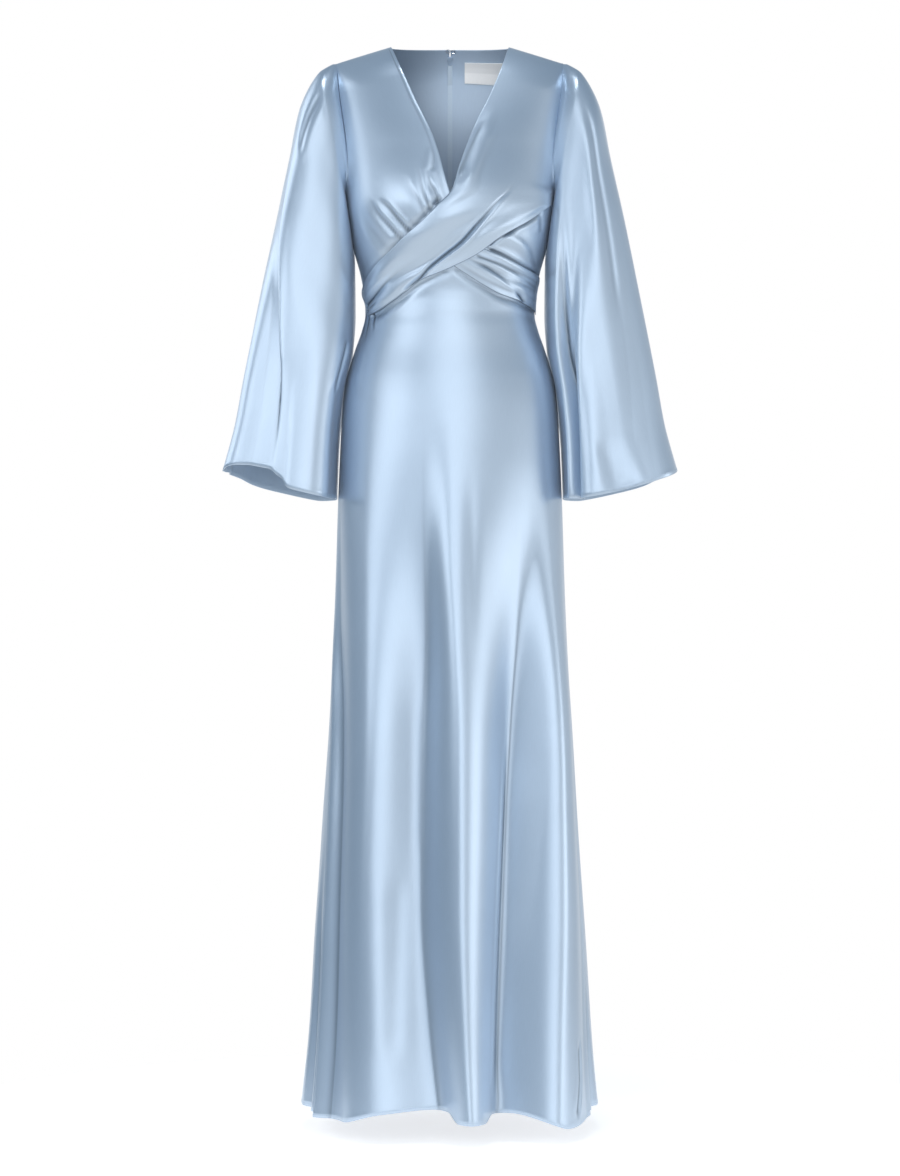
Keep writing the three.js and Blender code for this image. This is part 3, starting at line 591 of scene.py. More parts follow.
def inside_line(x, z, inset):
    """Points of a line on the inside of the back at distances x from the centre, and their normals."""
    phi = 180 - np.degrees(np.arcsin(x / half(z)))
    points = on_trunk(phi, z, -inset)
    return points, unit(points * [0, -1, 0] - [0, 1, 0])


def hem_relief(up):
    """Stitched hem, by the distance up from its edge: the doubled cloth stands a little proud below a
    narrow groove of stitching."""
    return HEM_RISE * (ease((HEM_WIDTH - up) / HEM_FADE) - 0.5 * bump((up - HEM_LINE) / HEM_GROOVE))


def meet_top(z, phi, u, k, start, top_line):
    """Heights that meet a top line: its height less mix(start, shoulder tip, u) is added, fading out over
    the first step down."""
    return z + (top_line(phi) - mix(start, SIDE_EDGE["z"][0], u)) * (1 - ease(k))


def rolled(upper, lower, upper_roll, lower_roll, count):
    """Columns of a strip from an upper to a lower line with both edges rolled under: the share across,
    and how far under each lies, roll * (1 - cos a), at the edge's turn a."""
    turn = np.linspace(ROLL_TURN, 0, ROLL_STEPS, endpoint=False)
    angle = np.concatenate([turn, np.zeros(count), turn[::-1]])
    share = np.concatenate([np.zeros(ROLL_STEPS), np.linspace(0, 1, count), np.ones(ROLL_STEPS)])
    width = np.linalg.norm(upper - lower, axis=-1)
    column = np.arange(len(share))
    first = column < ROLL_STEPS
    place = mix(upper_roll, width - lower_roll, share)
    place = np.where(first, upper_roll * (1 - sin_deg(angle)), place)
    place = np.where(column >= ROLL_STEPS + count, width - lower_roll * (1 - sin_deg(angle)), place)
    return place / width, np.where(first, upper_roll, lower_roll) * (1 - cos_deg(angle))


# Folds that lie across the over wrap, by step down it: place across, width, height, and their stretch
OVER_FOLDS = columns("at0 at1 width height start stop", [
    [0.10, 0.07, 0.09, 1.6, 2.2, 6.5], [0.16, 0.30, 0.26, 3.0, 6.5, 13], [0.78, 0.84, 0.20, 2.6, 7, 13],
])
# Creases: depth, width on the line's right and left, crest on its right and left, the shares of the line
# over which they grow and fade, and the line's points by angle and height
OVER_CREASES = [
    ([3.8, 1.9, 2.6, 0.1, 0.35, 0.5, 0.05], [[36, -184], [31.5, -200], [26, -213], [19, -234], [13, -251],
     [6.4, -270], [-3.8, -289], [-12.7, -305], [-19, -318], [-25, -327], [-32, -338.5]]),
    ([1.5, 3.4, 5, 0.6, 0.6, 0.35, 0.3], [[15.2, -92], [11.4, -116], [8.2, -140], [4.9, -163],
     [2.2, -186]]),
    ([2.3, 3.6, 6.5, 0.55, 0.55, 0.3, 0.25], [[18.5, -98], [14.5, -120], [10.6, -146], [6.8, -170],
     [3, -193]]),
    ([0.8, 9, 9, 0.4, 0.4, 0.4, 0.4], [[2, -240], [-6, -254], [-15, -269], [-26, -285], [-36, -300]]),
    ([2.8, 3.4, 5, 0.5, 0.5, 0.6, 0.05], [[-28, -305], [-40, -318], [-52, -332], [-62, -343],
     [-72, -352]]),
    ([1.4, 2.4, 2.4, 0.4, 0.4, 0.4, 0.05], [[-50, -345], [-58, -351], [-66, -356], [-74, -359]]),
    ([1.2, 3, 8, 0.4, 0.4, 0.2, 0.5], [[66, -222], [58, -222], [49, -231], [38, -244]]),
]
UNDER_CREASES = [
    ([3, 2.8, 7, 0.6, 0.1, 0.05, 0.75], [[-22, -259], [-30, -238], [-37, -218], [-44, -207]]),
    ([2.6, 3, 8, 0.6, 0.1, 0.05, 0.75], [[-28, -270], [-36, -247], [-44, -226], [-50, -203]]),
    ([1.7, 2.6, 6, 0.5, 0.1, 0.05, 0.75], [[-10, -232], [-13.4, -211], [-15.3, -186.5], [-18.6, -155]]),
    ([1.3, 2.8, 7, 0.5, 0.1, 0.05, 0.75], [[-13, -238], [-17.4, -214], [-21.5, -194], [-24, -174]]),
    ([2, 2.8, 5, 0.5, 0.2, 0.05, 0.6], [[-6, -221], [-7.6, -205.5], [-10.3, -191], [-13, -172]]),
    ([1.3, 7, 7, 0.5, 0.5, 0.05, 0.6], [[-36, -284], [-45, -262], [-53, -242], [-60, -216]]),
    ([0.9, 4, 4, 0.5, 0.5, 0.2, 0.2], [[-6.4, -143], [-8, -160], [-9, -176]]),
    ([2, 4, 4, 0.15, 0.15, 0.1, 0.1], [[-2, -206], [-9, -222], [-16, -239], [-25, -256], [-33, -270],
     [-42, -284], [-56, -300], [-67, -313], [-80, -325]]),
]
SIDE_CREASES = [
    ([2.2, 2.8, 2.8, 0.15, 0.15, 0.1, 0.2], [[20, -278], [30, -263], [42, -247], [52, -236], [63, -221]]),
    ([2, 2.6, 2.6, 0.15, 0.15, 0.1, 0.1], [[20, -276], [33, -285], [45, -294], [58, -301], [74, -306],
     [86, -310]]),
    ([-1.4, 7, 7, 0.3, 0.3, 0.3, 0.4], [[21, -268], [30, -262], [41, -266], [53, -278], [62, -291]]),
    ([0.9, 5.5, 5.5, 0.3, 0.3, 0.4, 0.3], [[34, -254], [46, -262], [57, -276], [66, -293], [72, -304]]),
    ([0.9, 5, 5, 0.4, 0.4, 0.2, 0.2], [[58, -222], [62, -240], [64, -254]]),
]
BAND_FOLDS = columns("at0 at1 width height start stop", [
    [0.12, 0.18, 0.16, 1.8, 0.2, 8], [0.68, 0.62, 0.20, 2.2, 0.2, 8],
])
BAND_CREASES = [
    ([1.5, 2.6, 4.5, 0.3, 0.3, 0.1, 0.3], [[13, -286], [22, -292], [30.5, -297], [39, -303], [48, -308],
     [66, -316], [88, -322]]),
    ([0.9, 3, 5, 0.3, 0.3, 0.2, 0.4], [[13, -293], [22, -301], [32, -313], [41, -325], [57, -335],
     [72, -340]]),
    ([2.2, 2.6, 4, 0.5, 0.5, 0.4, 0.1], [[44, -330], [52, -340], [59, -349], [70, -355], [83, -359]]),
    ([0.5, 2.6, 2.6, 0.3, 0.3, 0.3, 0.3], [[36, -302], [50, -313], [64, -322], [80, -328]]),
]
SKIRT_CREASES = [
    ([3, 5, 11, 0.5, 0.5, 0.3, 0.1], [[36.5, -940], [34, -1020], [30.5, -1110], [27, -1210], [24, -1320],
     [21.5, -1450]]),
    ([1.8, 4.4, 4.4, 0.15, 0.15, 0.1, 0.1], [[0, -306], [-10, -316.5], [-22, -329], [-37, -350],
     [-56, -365.5], [-70, -369]]),
    ([1.7, 4.2, 4.2, 0.15, 0.15, 0.1, 0.1], [[2, -302], [9, -314], [22.6, -330.5], [35, -341.5],
     [50, -348.5], [66, -355.5], [84, -362]]),
    ([0.8, 7, 7, 0.3, 0.3, 0.4, 0.4], [[10, -560], [10.2, -700], [10.5, -880]]),
    ([0.5, 9, 9, 0.4, 0.4, 0.4, 0.4], [[46, -560], [47, -680], [46, -800]]),
    ([0.6, 10, 10, 0.5, 0.5, 0.2, 0.2], [[-22, -880], [-21, -1000], [-20, -1120]]),
    ([1.1, 9, 9, 0.5, 0.5, 0.2, 0.2], [[-26, -1120], [-25, -1260], [-24, -1400]]),
    ([2.2, 5, 5, 0.5, 0.5, 0.2, 0.05], [[58, -1360], [57, -1410], [52, -1462]]),
    ([1.8, 3, 3, 0.6, 0.6, 0.05, 0.7], [[-66, -356], [-62, -372], [-58, -392]]),
    ([1.6, 3, 3, 0.6, 0.6, 0.05, 0.7], [[-72, -360], [-70, -378], [-67, -402]]),
    ([1.3, 3, 3, 0.6, 0.6, 0.05, 0.7], [[-78, -362], [-77, -384], [-75, -410]]),
]


def fold_height(folds, u, k):
    """Sum of round folds that run down a strip and drift across it."""
    total = np.zeros(np.broadcast(u, k).shape)
    for at0, at1, width, height, start, stop in zip(*folds.values()):
        run = np.clip((k - start) / (stop - start), 0, 1)
        grown = ease((k - start) / STRIP_FADE) * (1 - ease((k - stop) / STRIP_FADE))
        total = total + height * grown * bump((u - mix(at0, at1, run)) / width)
    return total


def over_wrap_points(count=110, down=220):
    """Over wrap: from the neck edge across to the armhole, then as a band across to the right waist. A
    point is mix(upper edge, lower edge, u) on the dress, lifted by the table's lift and its folds."""
    last = OVER_UPPER["v"][-1]
    k = np.linspace(0, last, down)[:, None]
    upper = row_at(OVER_UPPER, k)
    lower = row_at(OVER_LOWER, k)
    armhole = np.minimum(k, OVER_ARMPIT) * ARMPIT / OVER_ARMPIT
    above = k < OVER_ARMPIT
    phi_out = np.where(above, edge_phi(armhole), lower["phi"])
    z_out = np.where(above, edge_z(armhole), lower["z"])
    lower_roll = mix(*LOWER_ROLL, ease((k - LOWER_ROLL_START) / 2))
    lower_roll = lower_roll * mix(1, 0.5, ease((k - LOWER_ROLL_END) / 2))
    u, under = rolled(on_trunk(upper["phi"], upper["z"]), on_trunk(phi_out, z_out),
                      upper["roll"], lower_roll, count)
    phi = mix(upper["phi"], phi_out, u)
    z = meet_top(mix(upper["z"], z_out, u), phi, u, k, OVER_UPPER["z"][0], shoulder_z)
    seamed = np.maximum(ease((u - 0.5) / 0.4) * (1 - ease(k - 5)), ease((phi - SEWN_PHI) / SEWN_FADE))
    tucked = 1 - 0.7 * ease((k - last + 0.8) / 0.8)
    lifted = np.maximum(0, (upper["lift"] + fold_height(OVER_FOLDS, u, k)) * (1 - seamed)) * tucked
    lifted = lifted + creases(chart, phi, z, OVER_CREASES) * (1 - seamed) - under
    points = on_trunk(phi, z, lifted)
    points[..., 1] -= SEAM * (1 - ease(k))
    return points


def under_wrap_points(across=110, down=150):
    """Under wrap: mix(neck edge, armhole and side seam, u) on the dress, its lower end tucked behind the
    over wrap and stopped at the skirt's top line."""
    u, v = grid(across, down)
    u = u ** UNDER_SPREAD
    k = v * EDGE_END
    neck = row_at(UNDER_NECK, k)
    phi = mix(neck["phi"], edge_phi(k), u)
    z = mix(neck["z"], edge_z(k), u) - 4 * u * (1 - u) * neck["sag"]
    z = meet_top(z, phi, u, k, UNDER_NECK["z"][0], shoulder_z)
    z = np.maximum(z, skirt_top(-phi) + WAIST_GAP + 2 * (EDGE_END - k))
    edge = ease((u - EDGE_GROOVE) / 0.06)
    relief = creases(chart, -phi, z, UNDER_CREASES) + drift(-phi, z, UNDER_DRIFT) * ease((0.97 - u) / 0.1)
    relief = relief * edge + NECK_BEAD * bump((u - EDGE_GROOVE) / EDGE_GROOVE) - side_groove(u)
    points = on_trunk(-phi, z, relief * ease(k / 0.5))
    points[..., 1] -= SEAM * (1 - ease(k))
    return points


def side_groove(u):
    """Depth of the side seam's groove."""
    return SIDE_GROOVE * bump((u - 1) / EDGE_GROOVE)


def side_front_points(across=100, down=60):
    """Plain side front between the over wrap's lower edge and the skirt's top line."""
    u, v = grid(across, down)
    phi = mix(SIDE_TOP["phi"][0], SIDE_ANGLE, u)
    z = mix(curve(SIDE_TOP, "phi", "z")(phi), skirt_top(phi) + WAIST_GAP, v)
    return on_trunk(phi, z, creases(chart, phi, z, SIDE_CREASES) * ease((0.99 - u) / 0.1) - side_groove(u))


def under_band_points(count=70, down=130):
    """Under band: mix(upper edge, lower edge, u) on the dress, lifted, with both edges rolled under."""
    last = UNDER_BAND["v"][-1]
    k = np.linspace(0, last, down)[:, None]
    row = row_at(UNDER_BAND, k)
    end = ease(k - last + 1)
    roll = BAND_ROLL * (1 - 0.7 * end)
    u, under = rolled(on_trunk(row["phi"], row["z"]), on_trunk(row["phiOut"], row["zOut"]), roll, roll, count)
    phi = mix(row["phi"], row["phiOut"], u)
    z = mix(row["z"], row["zOut"], u)
    loose = BAND_LIFT + fold_height(BAND_FOLDS, u, k) + creases(chart, phi, z, BAND_CREASES)
    return on_trunk(phi, z, mix(loose, BAND_END_LIFT, end) - under)


def back_neck_z(phi):
    beta = np.abs(phi)
    neck = UNDER_NECK["phi"][0]
    return np.where(beta < neck, mix(BACK_NECK_Z, shoulder_z(neck), beta / neck), shoulder_z(beta))


def back_points(sign, across=90, down=110):
    """Upper back: mix(centre line, armhole and side seam, u) on the dress, from neck to waist."""
    u, v = grid(across, down)
    k = EDGE_END * v ** BACK_SPREAD
    centre = np.degrees(np.arcsin(ZIP_HALF_GAP / half(0)))
    phi = mix(centre, edge_phi(k), u)
    inner = mix(BACK_NECK_Z, WAIST_Z + WAIST_GAP, k / EDGE_END)
    z = meet_top(mix(inner, edge_z(k), u), phi, u, k, BACK_NECK_Z, back_neck_z)
    relief = drift(180 - sign * phi, z, BACK_DRIFT) * ease(u / 0.1) * ease((1 - u) / 0.1) * ease(k)
    points = on_trunk(180 - sign * phi, z, relief)
    points[..., 1] += SEAM * (1 - ease(k)) * ease((phi - UNDER_NECK["phi"][0] + 4) / 4)
    return points


# Skirt: how rows gather towards the waist, where outer waves end, and panel lengths for their hems
SKIRT_SPREAD = 1.25
WAVE_END = 26
FRONT_DROP = 1170
BACK_DROP = 1120
FOLD_END_Z = -1460
SEAM_SHARE = 0.06


def seam_fade(u):
    """0 at both side edges and 1 between them."""
    return ease(u / SEAM_SHARE) * ease((1 - u) / SEAM_SHARE)


def wave_depth(phi, z):
    """Front skirt folds: between each hollow and crest the depth changes as a smooth step."""
    at = list(row_at(FRONT_WAVE, z).values())
    deep = [d * ease((s - z) / (s - f)) for d, s, f in zip(*WAVE_SIZE.values())]
    at = [at[0] - WAVE_END, *at, at[-1] + WAVE_END]
    deep = [0 * z, *deep, 0 * z]
    total = np.zeros(np.broadcast(phi, z).shape)
    for a, b, low, high in zip(at[:-1], at[1:], deep[:-1], deep[1:]):
        inside = (phi >= a) & (phi < b)
        total = np.where(inside, mix(low, high, ease((phi - a) / (b - a))), total)
    return total


def skirt_front_points(across=190, down=230):
    """Front skirt: side seam to side seam by angle, waist line to hem, on the dress with its folds."""
    u, v = grid(across, down)
    fall = v ** SKIRT_SPREAD
    level = mix(WAIST_Z, HEM_Z, fall)
    phi = mix(right_seam(level), left_seam(level), u)
    z = mix(skirt_top(mix(-90, 90, u)), curve(FRONT_HEM, "phi", "z")(phi), fall)
    seams = seam_fade(u)
    relief = creases(chart, phi, z, SKIRT_CREASES) + drift(phi, z, SKIRT_DRIFT) * seams * ease(v / 0.1)
    relief = relief + hem_relief((1 - fall) * FRONT_DROP)
    relief = relief + WAIST_FILL * bump((z - WAIST_Z + 6) / WAIST_FILL_HIGH) * bump(phi / WAIST_FILL_WIDE)
    return on_trunk(phi, z, 0, wave_depth(phi, z) * seams + relief)


def fold_depth(folds, phi, z):
    """Back skirt folds: round hills and hollows that drift from their top angle to their hem angle."""
    total = 0
    for top, hem, width, depth, start, full in zip(*folds.values()):
        grown = ease((start - z) / (start - full))
        run = np.clip((start - z) / (start - FOLD_END_Z), 0, 1)
        total = total + depth * grown * bump((phi - mix(top, hem, run)) / width / FOLD_SPREAD)
    return total


def skirt_back_points(sign, across=120, down=180):
    """One back skirt panel: centre seam to side seam by angle, waist to hem, with its folds."""
    u, v = grid(across, down)
    fall = v ** SKIRT_SPREAD
    level = mix(WAIST_Z, HEM_Z, fall)
    seam = left_seam(level) if sign > 0 else right_seam(level)
    past = SIDE_ANGLE - np.abs(seam)
    side = SIDE_ANGLE + past - 0.2 * ease(past / 4)
    gap = mix(SEAM * 0.7, ZIP_HALF_GAP, ease((level - ZIP_END_Z) / 20))
    beta = mix(np.degrees(np.arcsin(gap / half(level))), side, u)
    z = mix(WAIST_Z, curve(BACK_HEM, "phi", "z")(sign * beta), fall)
    relief = drift(180 - sign * beta, z, SKIRT_BACK_DRIFT) * seam_fade(u) * ease(v / 0.1)
    depth = fold_depth(BACK_FOLDS, sign * beta, z) * ease((beta - 1) / 6) * ease((1 - u) / 0.08)
    return on_trunk(180 - sign * beta, z, 0, depth + relief + hem_relief((1 - fall) * BACK_DROP))


def armhole_points(theta, sign, lift):
    """The armhole round its angle: the side edge down the front to the armpit and up the back."""
    k = np.where(theta <= 180, theta, 360 - theta) / 180 * ARMPIT
    z = meet_top(edge_z(k), SIDE_EDGE["phi"][0], 1, k, 0, shoulder_z)
    points = on_trunk(sign * np.where(theta <= 180, edge_phi(k), 180 - edge_phi(k)), z, lift)
    points[..., 0] += sign * lift
    return points


def keep_clear(points, margin):
    """Moves points out sideways until they are margin away from the dress's side, less and less towards
    the shoulder's tip, where the sleeve is sewn on."""
    x, y, z = np.moveaxis(points, -1, 0)
    g = np.maximum(LEAST_SWELL, swell(x, z, 0))
    y = RIDGE_Y * (1 - 1 / g) + y / g
    deep = np.where(y < 0, front(z), back(z)) + margin
    across = np.minimum(1, np.abs(y) / deep) ** (1 / ROUNDNESS)
    least = (half(z) + margin) * np.sqrt(1 - across * across)
    below = ease((SIDE_EDGE["z"][0] - z) / TIP_FADE - TIP_HELD)
    points[..., 0] = np.where(np.abs(x) < least, mix(x, np.sign(x) * least, below), x)
    return points


def squared(value):
    return np.sign(value) * np.abs(value) ** SLEEVE_SQUARE


def sleeve_chart(theta, s):
    """A sleeve laid out flat: arc length by its growing radius, and length down it."""
    return np.stack([np.radians(theta) * mix(*SLEEVE_RADIUS, s), s * SLEEVE_DROP], axis=-1)


def sleeve_points(sign, folds, lines, tuck, across=190, down=130):
    """Sleeve: rings of rounded ovals from the table, turned from the armhole to a level hem, with folds
    that grow down it, kept clear of the dress's side."""
    u, v = grid(across, down, closed=True)
    theta = u * 360
    s = v ** SLEEVE_SPREAD
    row = row_at(SLEEVE, s)
    c = squared(cos_deg(theta))
    w = squared(sin_deg(theta))
    x = mix(row["inX"], row["outX"], (1 + c) / 2)
    z = mix(row["inZ"], row["outZ"], (1 + c) / 2)
    ring = np.stack([sign * x, np.where(w > 0, -row["front"] * w, -row["back"] * w), z], axis=-1)
    middle = np.stack([sign * (row["outX"] + row["inX"]) / 2, 0 * s, z], axis=-1)
    total = creases(sleeve_chart, theta, s, lines) + hem_relief((1 - s) * SLEEVE_DROP)
    for top, hem, width, depth, start in zip(*folds.values()):
        run = (s - start) / (1 - start)
        grown = ease(run * FOLD_GROWTH)
        at = mix(top, hem, np.clip(run, 0, 1))
        total = total + depth * grown * bump((theta - at) / width / FOLD_SPREAD)
    away = unit((ring - middle) * [1, 1, 0])
    if tuck is not None:
        around = unit(np.roll(ring, -1, axis=1) - np.roll(ring, 1, axis=1))
        line, size = row_at(tuck, s).values()
        t = np.clip((theta - line) / TUCK_WIDTH, -1, 1)
        total = total + TUCK_RISE * size * np.sin(np.pi * t / 2) * bump((theta - line) / TUCK_FADE)
        ring = ring - around * (TUCK_OVERLAP * size * np.sin(np.pi * t) * bump(t))[..., None]
        rise = np.interp(theta, RIGHT_HEM_RISE["theta"], RIGHT_HEM_RISE["rise"])
        ring[..., 2] += rise * ease((s - RISE_START) / (1 - RISE_START))
    ring = ring + away * total[..., None]
    ring[..., 2] -= HEM_DIP * ease((s - DIP_START) / (1 - DIP_START)) * sin_deg(theta) ** 2
    start = armhole_points(theta, sign, SLEEVE_START)
    placed = mix(start, ring, ease(s / SLEEVE_TURN)[..., None])
    return keep_clear(placed, mix(SLEEVE_START, SLEEVE_CLEARANCE, ease(s / SLEEVE_TURN * 2)))


# The right sleeve's tuck: the front of the sleeve laps over its outer part along a line
RIGHT_SLEEVE_TUCK = columns("s theta size", [
    [0.30, 30, 0], [0.42, 36, 0.15], [0.5, 43, 0.45], [0.65, 71, 0.85], [0.8, 86.5, 1], [0.9, 89.5, 1],
    [1, 91.2, 1],
])
# How far the right sleeve's hem is drawn up in front of the tuck
RIGHT_HEM_RISE = columns("theta rise", [
    [0, 0], [22, 0], [36, 9], [50, 16], [70, 23], [84, 26], [88, 24], [94, 9], [99, 5], [125, 2], [150, 0],
])
TUCK_WIDTH = 20
TUCK_FADE = 75
TUCK_RISE = 8
TUCK_OVERLAP = 16
# Sleeve creases: angle round the sleeve and share of its length
RIGHT_SLEEVE_CREASES = [
    ([2, 7, 7, 0.4, 0.4, 0.2, 0.2], [[60, 0.1], [58, 0.2], [52, 0.32]]),
    ([2.6, 7, 7, 0.4, 0.4, 0.2, 0.2], [[150, 0.62], [142, 0.72], [134, 0.8]]),
]
LEFT_SLEEVE_CREASES = [
    ([5, 7, 7, 0.3, 0.3, 0.3, 0.02], [[90, 0.14], [92, 0.35], [98, 0.5], [107, 0.65], [122, 0.8],
     [131, 0.9], [139, 1]]),
    ([1.6, 7, 7, 0.4, 0.4, 0.2, 0.2], [[62, 0.12], [66, 0.3], [70, 0.5], [78, 0.7]]),
    ([1.3, 6, 6, 0.4, 0.4, 0.2, 0.05], [[96, 0.9], [92, 0.96], [88, 1]]),
]

MATERIALS = {}
# How dark painted shade makes the satin: at full shade its colour is its dark tone to the power 1.5, times
# this
PAINTED_SHADE_TONE = 0.3
# Cloth: scale of its streaks and weave across and along, depth of its bump, and where its tones lie
STREAK_SCALE = (900, 60, 1)
WEAVE_SCALE = (260, 700, 1)
WEAVE_DEPTH = 0.00012
GRAIN_DEPTH = 0.0001
SATIN_TONES = (0.35, 0.65)
GRAIN_TONES = (0.3, 0.7)
# Finishes: colour, metallic, roughness, scale of the grain and its strength
FINISHES = {
    "zip_metal": ((0.55, 0.58, 0.62), 1.0, 0.3, 900, 0.15),
    "painted_metal": ((0.50, 0.63, 0.78), 0.4, 0.35, 900, 0.1),
    "zip_tape": ((0.53, 0.64, 0.75), 0.0, 0.7, 1400, 0.5),
    "thread": ((0.46, 0.60, 0.76), 0.1, 0.5, 1800, 0.3),
    "label_cloth": ((0.96, 0.96, 0.95), 0.0, 0.75, 1600, 0.5),
}


def feed(socket, value):
    """Sets a shader socket to a value, or links it to the output that is given instead."""
    if isinstance(value, bpy.types.NodeSocket):
        socket.id_data.links.new(value, socket)
    else:
        socket.default_value = value


def put(node, **values):
    """Sets a node's properties and feeds its inputs, by name."""
    for key, value in values.items():
        if hasattr(node, key):
            setattr(node, key, value)
        else:
            feed(node.inputs[key.replace("_", " ")], value)
    return node


def add(nodes, kind, **values):
    return put(nodes.new(kind), **values)


def combined(nodes, operation, first, second):
    node = add(nodes, "ShaderNodeMath", operation=operation)
    feed(node.inputs[0], first)
    feed(node.inputs[1], second)
    return node.outputs["Value"]


def blended(nodes, share, first, second):
    """A colour between two others."""
    node = add(nodes, "ShaderNodeMix", data_type="RGBA", Factor=share)
    for socket, colour in zip([socket for socket in node.inputs if socket.type == "RGBA"], (first, second)):
        feed(socket, colour)
    return next(socket for socket in node.outputs if socket.type == "RGBA")


def noise(nodes, place, scale, detail, roughness):
    node = add(nodes, "ShaderNodeTexNoise", Vector=place, Scale=scale, Detail=detail, Roughness=roughness)
    return node.outputs["Fac"]


def stretched(nodes, place, scale):
    return add(nodes, "ShaderNodeMapping", Vector=place, Scale=scale).outputs["Vector"]


def raised(nodes, height, strength, depth):
    return add(nodes, "ShaderNodeBump", Height=height, Strength=strength, Distance=depth).outputs["Normal"]


def toned(nodes, share, places, colours):
    """A colour ramp between two colours at the given places."""
    node = add(nodes, "ShaderNodeValToRGB", Fac=share)
    for element, place, colour in zip(node.color_ramp.elements, places, colours):
        element.position = place
        element.color = (*colour, 1)
    return node.outputs["Color"]


def new_material(name):
    """A node material with only a Principled shader."""
    material = bpy.data.materials.new(name)
    material.use_nodes = True
    nodes = material.node_tree.nodes
    return material, nodes, next(node for node in nodes if node.type == "BSDF_PRINCIPLED")


def woven(name, light, darker, metallic, roughness, strength):
    """Satin cloth: long floats along the piece as fine streaks, a slow change of tone, and a fine weave
    as bump, all on the cloth's own lengths. Painted shade darkens it in tight creases and at strip rims."""
    material, nodes, shader = new_material(name)
    dark = tuple(value * darker for value in light)
    place = add(nodes, "ShaderNodeUVMap", uv_map="cloth").outputs["UV"]
    streak = noise(nodes, stretched(nodes, place, STREAK_SCALE), 1.0, 3.0, 0.6)
    both = combined(nodes, "ADD", streak, noise(nodes, place, 9.0, 2.0, 0.5))
    tone = toned(nodes, combined(nodes, "MULTIPLY", both, 0.5), SATIN_TONES, (dark, light))
    # Painted shade: the colour is blended towards a deep blue by the share stored on the cloth
    deep = add(nodes, "ShaderNodeAttribute", attribute_name="painted_shade").outputs["Fac"]
    shade = (*(value ** 1.5 * PAINTED_SHADE_TONE for value in dark), 1)
    weave = add(nodes, "ShaderNodeTexWave", Vector=stretched(nodes, place, WEAVE_SCALE), Scale=1.0,
                Distortion=0.6, Detail=1.0).outputs["Fac"]
    relief = combined(nodes, "ADD", weave, streak)
    put(shader, Base_Color=blended(nodes, deep, tone, shade), Metallic=metallic, Roughness=roughness,
        Normal=raised(nodes, relief, strength, WEAVE_DEPTH), Specular_IOR_Level=0.5, Sheen_Weight=0.15,
        Sheen_Roughness=0.4, Anisotropic=0.35)
    return material


def plain(name, colour, metallic, roughness, scale, strength):
    """A plain finish with fine grain: noise moves its tone a little and gives a low bump."""
    material, nodes, shader = new_material(name)
    grain = noise(nodes, add(nodes, "ShaderNodeTexCoord").outputs["Object"], scale, 4.0, 0.6)
    dark = tuple(value * 0.9 for value in colour)
    put(shader, Base_Color=toned(nodes, grain, GRAIN_TONES, (dark, colour)), Metallic=metallic,
        Roughness=roughness, Normal=raised(nodes, grain, strength, GRAIN_DEPTH))
    return material


def kept(name, make, *values):
    """A material that is made once and used again."""
    if name not in MATERIALS:
        MATERIALS[name] = make(name, *values)
    return MATERIALS[name]


def satin():
    look = bpy.context.scene.wrap_dress
    return kept("satin", woven, tuple(look.satin_colour), 0.95, look.satin_metal, look.satin_roughness, 0.12)


def satin_inside():
    return kept("satin_inside", woven, tuple(bpy.context.scene.wrap_dress.lining_colour), 0.94, 0.0, 0.6, 0.2)


def finish(name):
    return kept(name, plain, *FINISHES[name])


# Each sheet by its solid: the piece that stands for it, the width, length and area of its cut in metres,
# and how it is held
SHEETS = {
    "front_over_wrap": ("over_wrap", 0.24, 0.66, 0.060, "gathered"),
    "front_under_wrap": ("under_wrap", 0.24, 0.40, 0.055, "gathered"),
    "front_side": ("side_front", 0.23, 0.13, 0.0175, "hung"),
    "under_band": ("under_band_cloth", 0.075, 0.20, 0.0115, "gathered"),
    "back_left": ("back_left_cloth", 0.21, 0.41, 0.067, "hung"),
    "back_right": ("back_right_cloth", 0.21, 0.41, 0.067, "hung"),
    "skirt_front": ("skirt_front_cloth", 0.51, 1.19, 0.515, "hung"),
    "skirt_back_left": ("skirt_back_left_cloth", 0.42, 1.13, 0.318, "hung"),
    "skirt_back_right": ("skirt_back_right_cloth", 0.42, 1.13, 0.318, "hung"),
    "sleeve_left": ("sleeve_left_cloth", 0.64, 0.61, 0.274, "hung"),
    "sleeve_right": ("sleeve_right_cloth", 0.64, 0.61, 0.274, "hung"),
}
SIDES = (("left", 1), ("right", -1))


def thickness(points, settings, hem):
    """Cloth thickness in millimetres by row: the hem's last rows are doubled."""
    single = settings.cloth_thickness / MM
    if not hem:
        return single
    length = np.linalg.norm(np.diff(points, axis=0), axis=-1)[::-1].cumsum(axis=0)[::-1]
    to_hem = np.concatenate([length, np.zeros((1, points.shape[1]))])
    return mix(single, settings.hem_thickness / MM, ease((HEM_WIDTH - to_hem) / HEM_FADE))


def sewn(context, solid, points, side, hem=False, closed=False, shade=0):
    """A finished sheet: it stands for its solid and rides on the dress."""
    name, width, length, area, held = SHEETS[solid]
    made = cloth(name, points, thickness(points, context.scene.wrap_dress, hem), side, closed, shade)
    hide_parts(solid)
    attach(made, BODY)


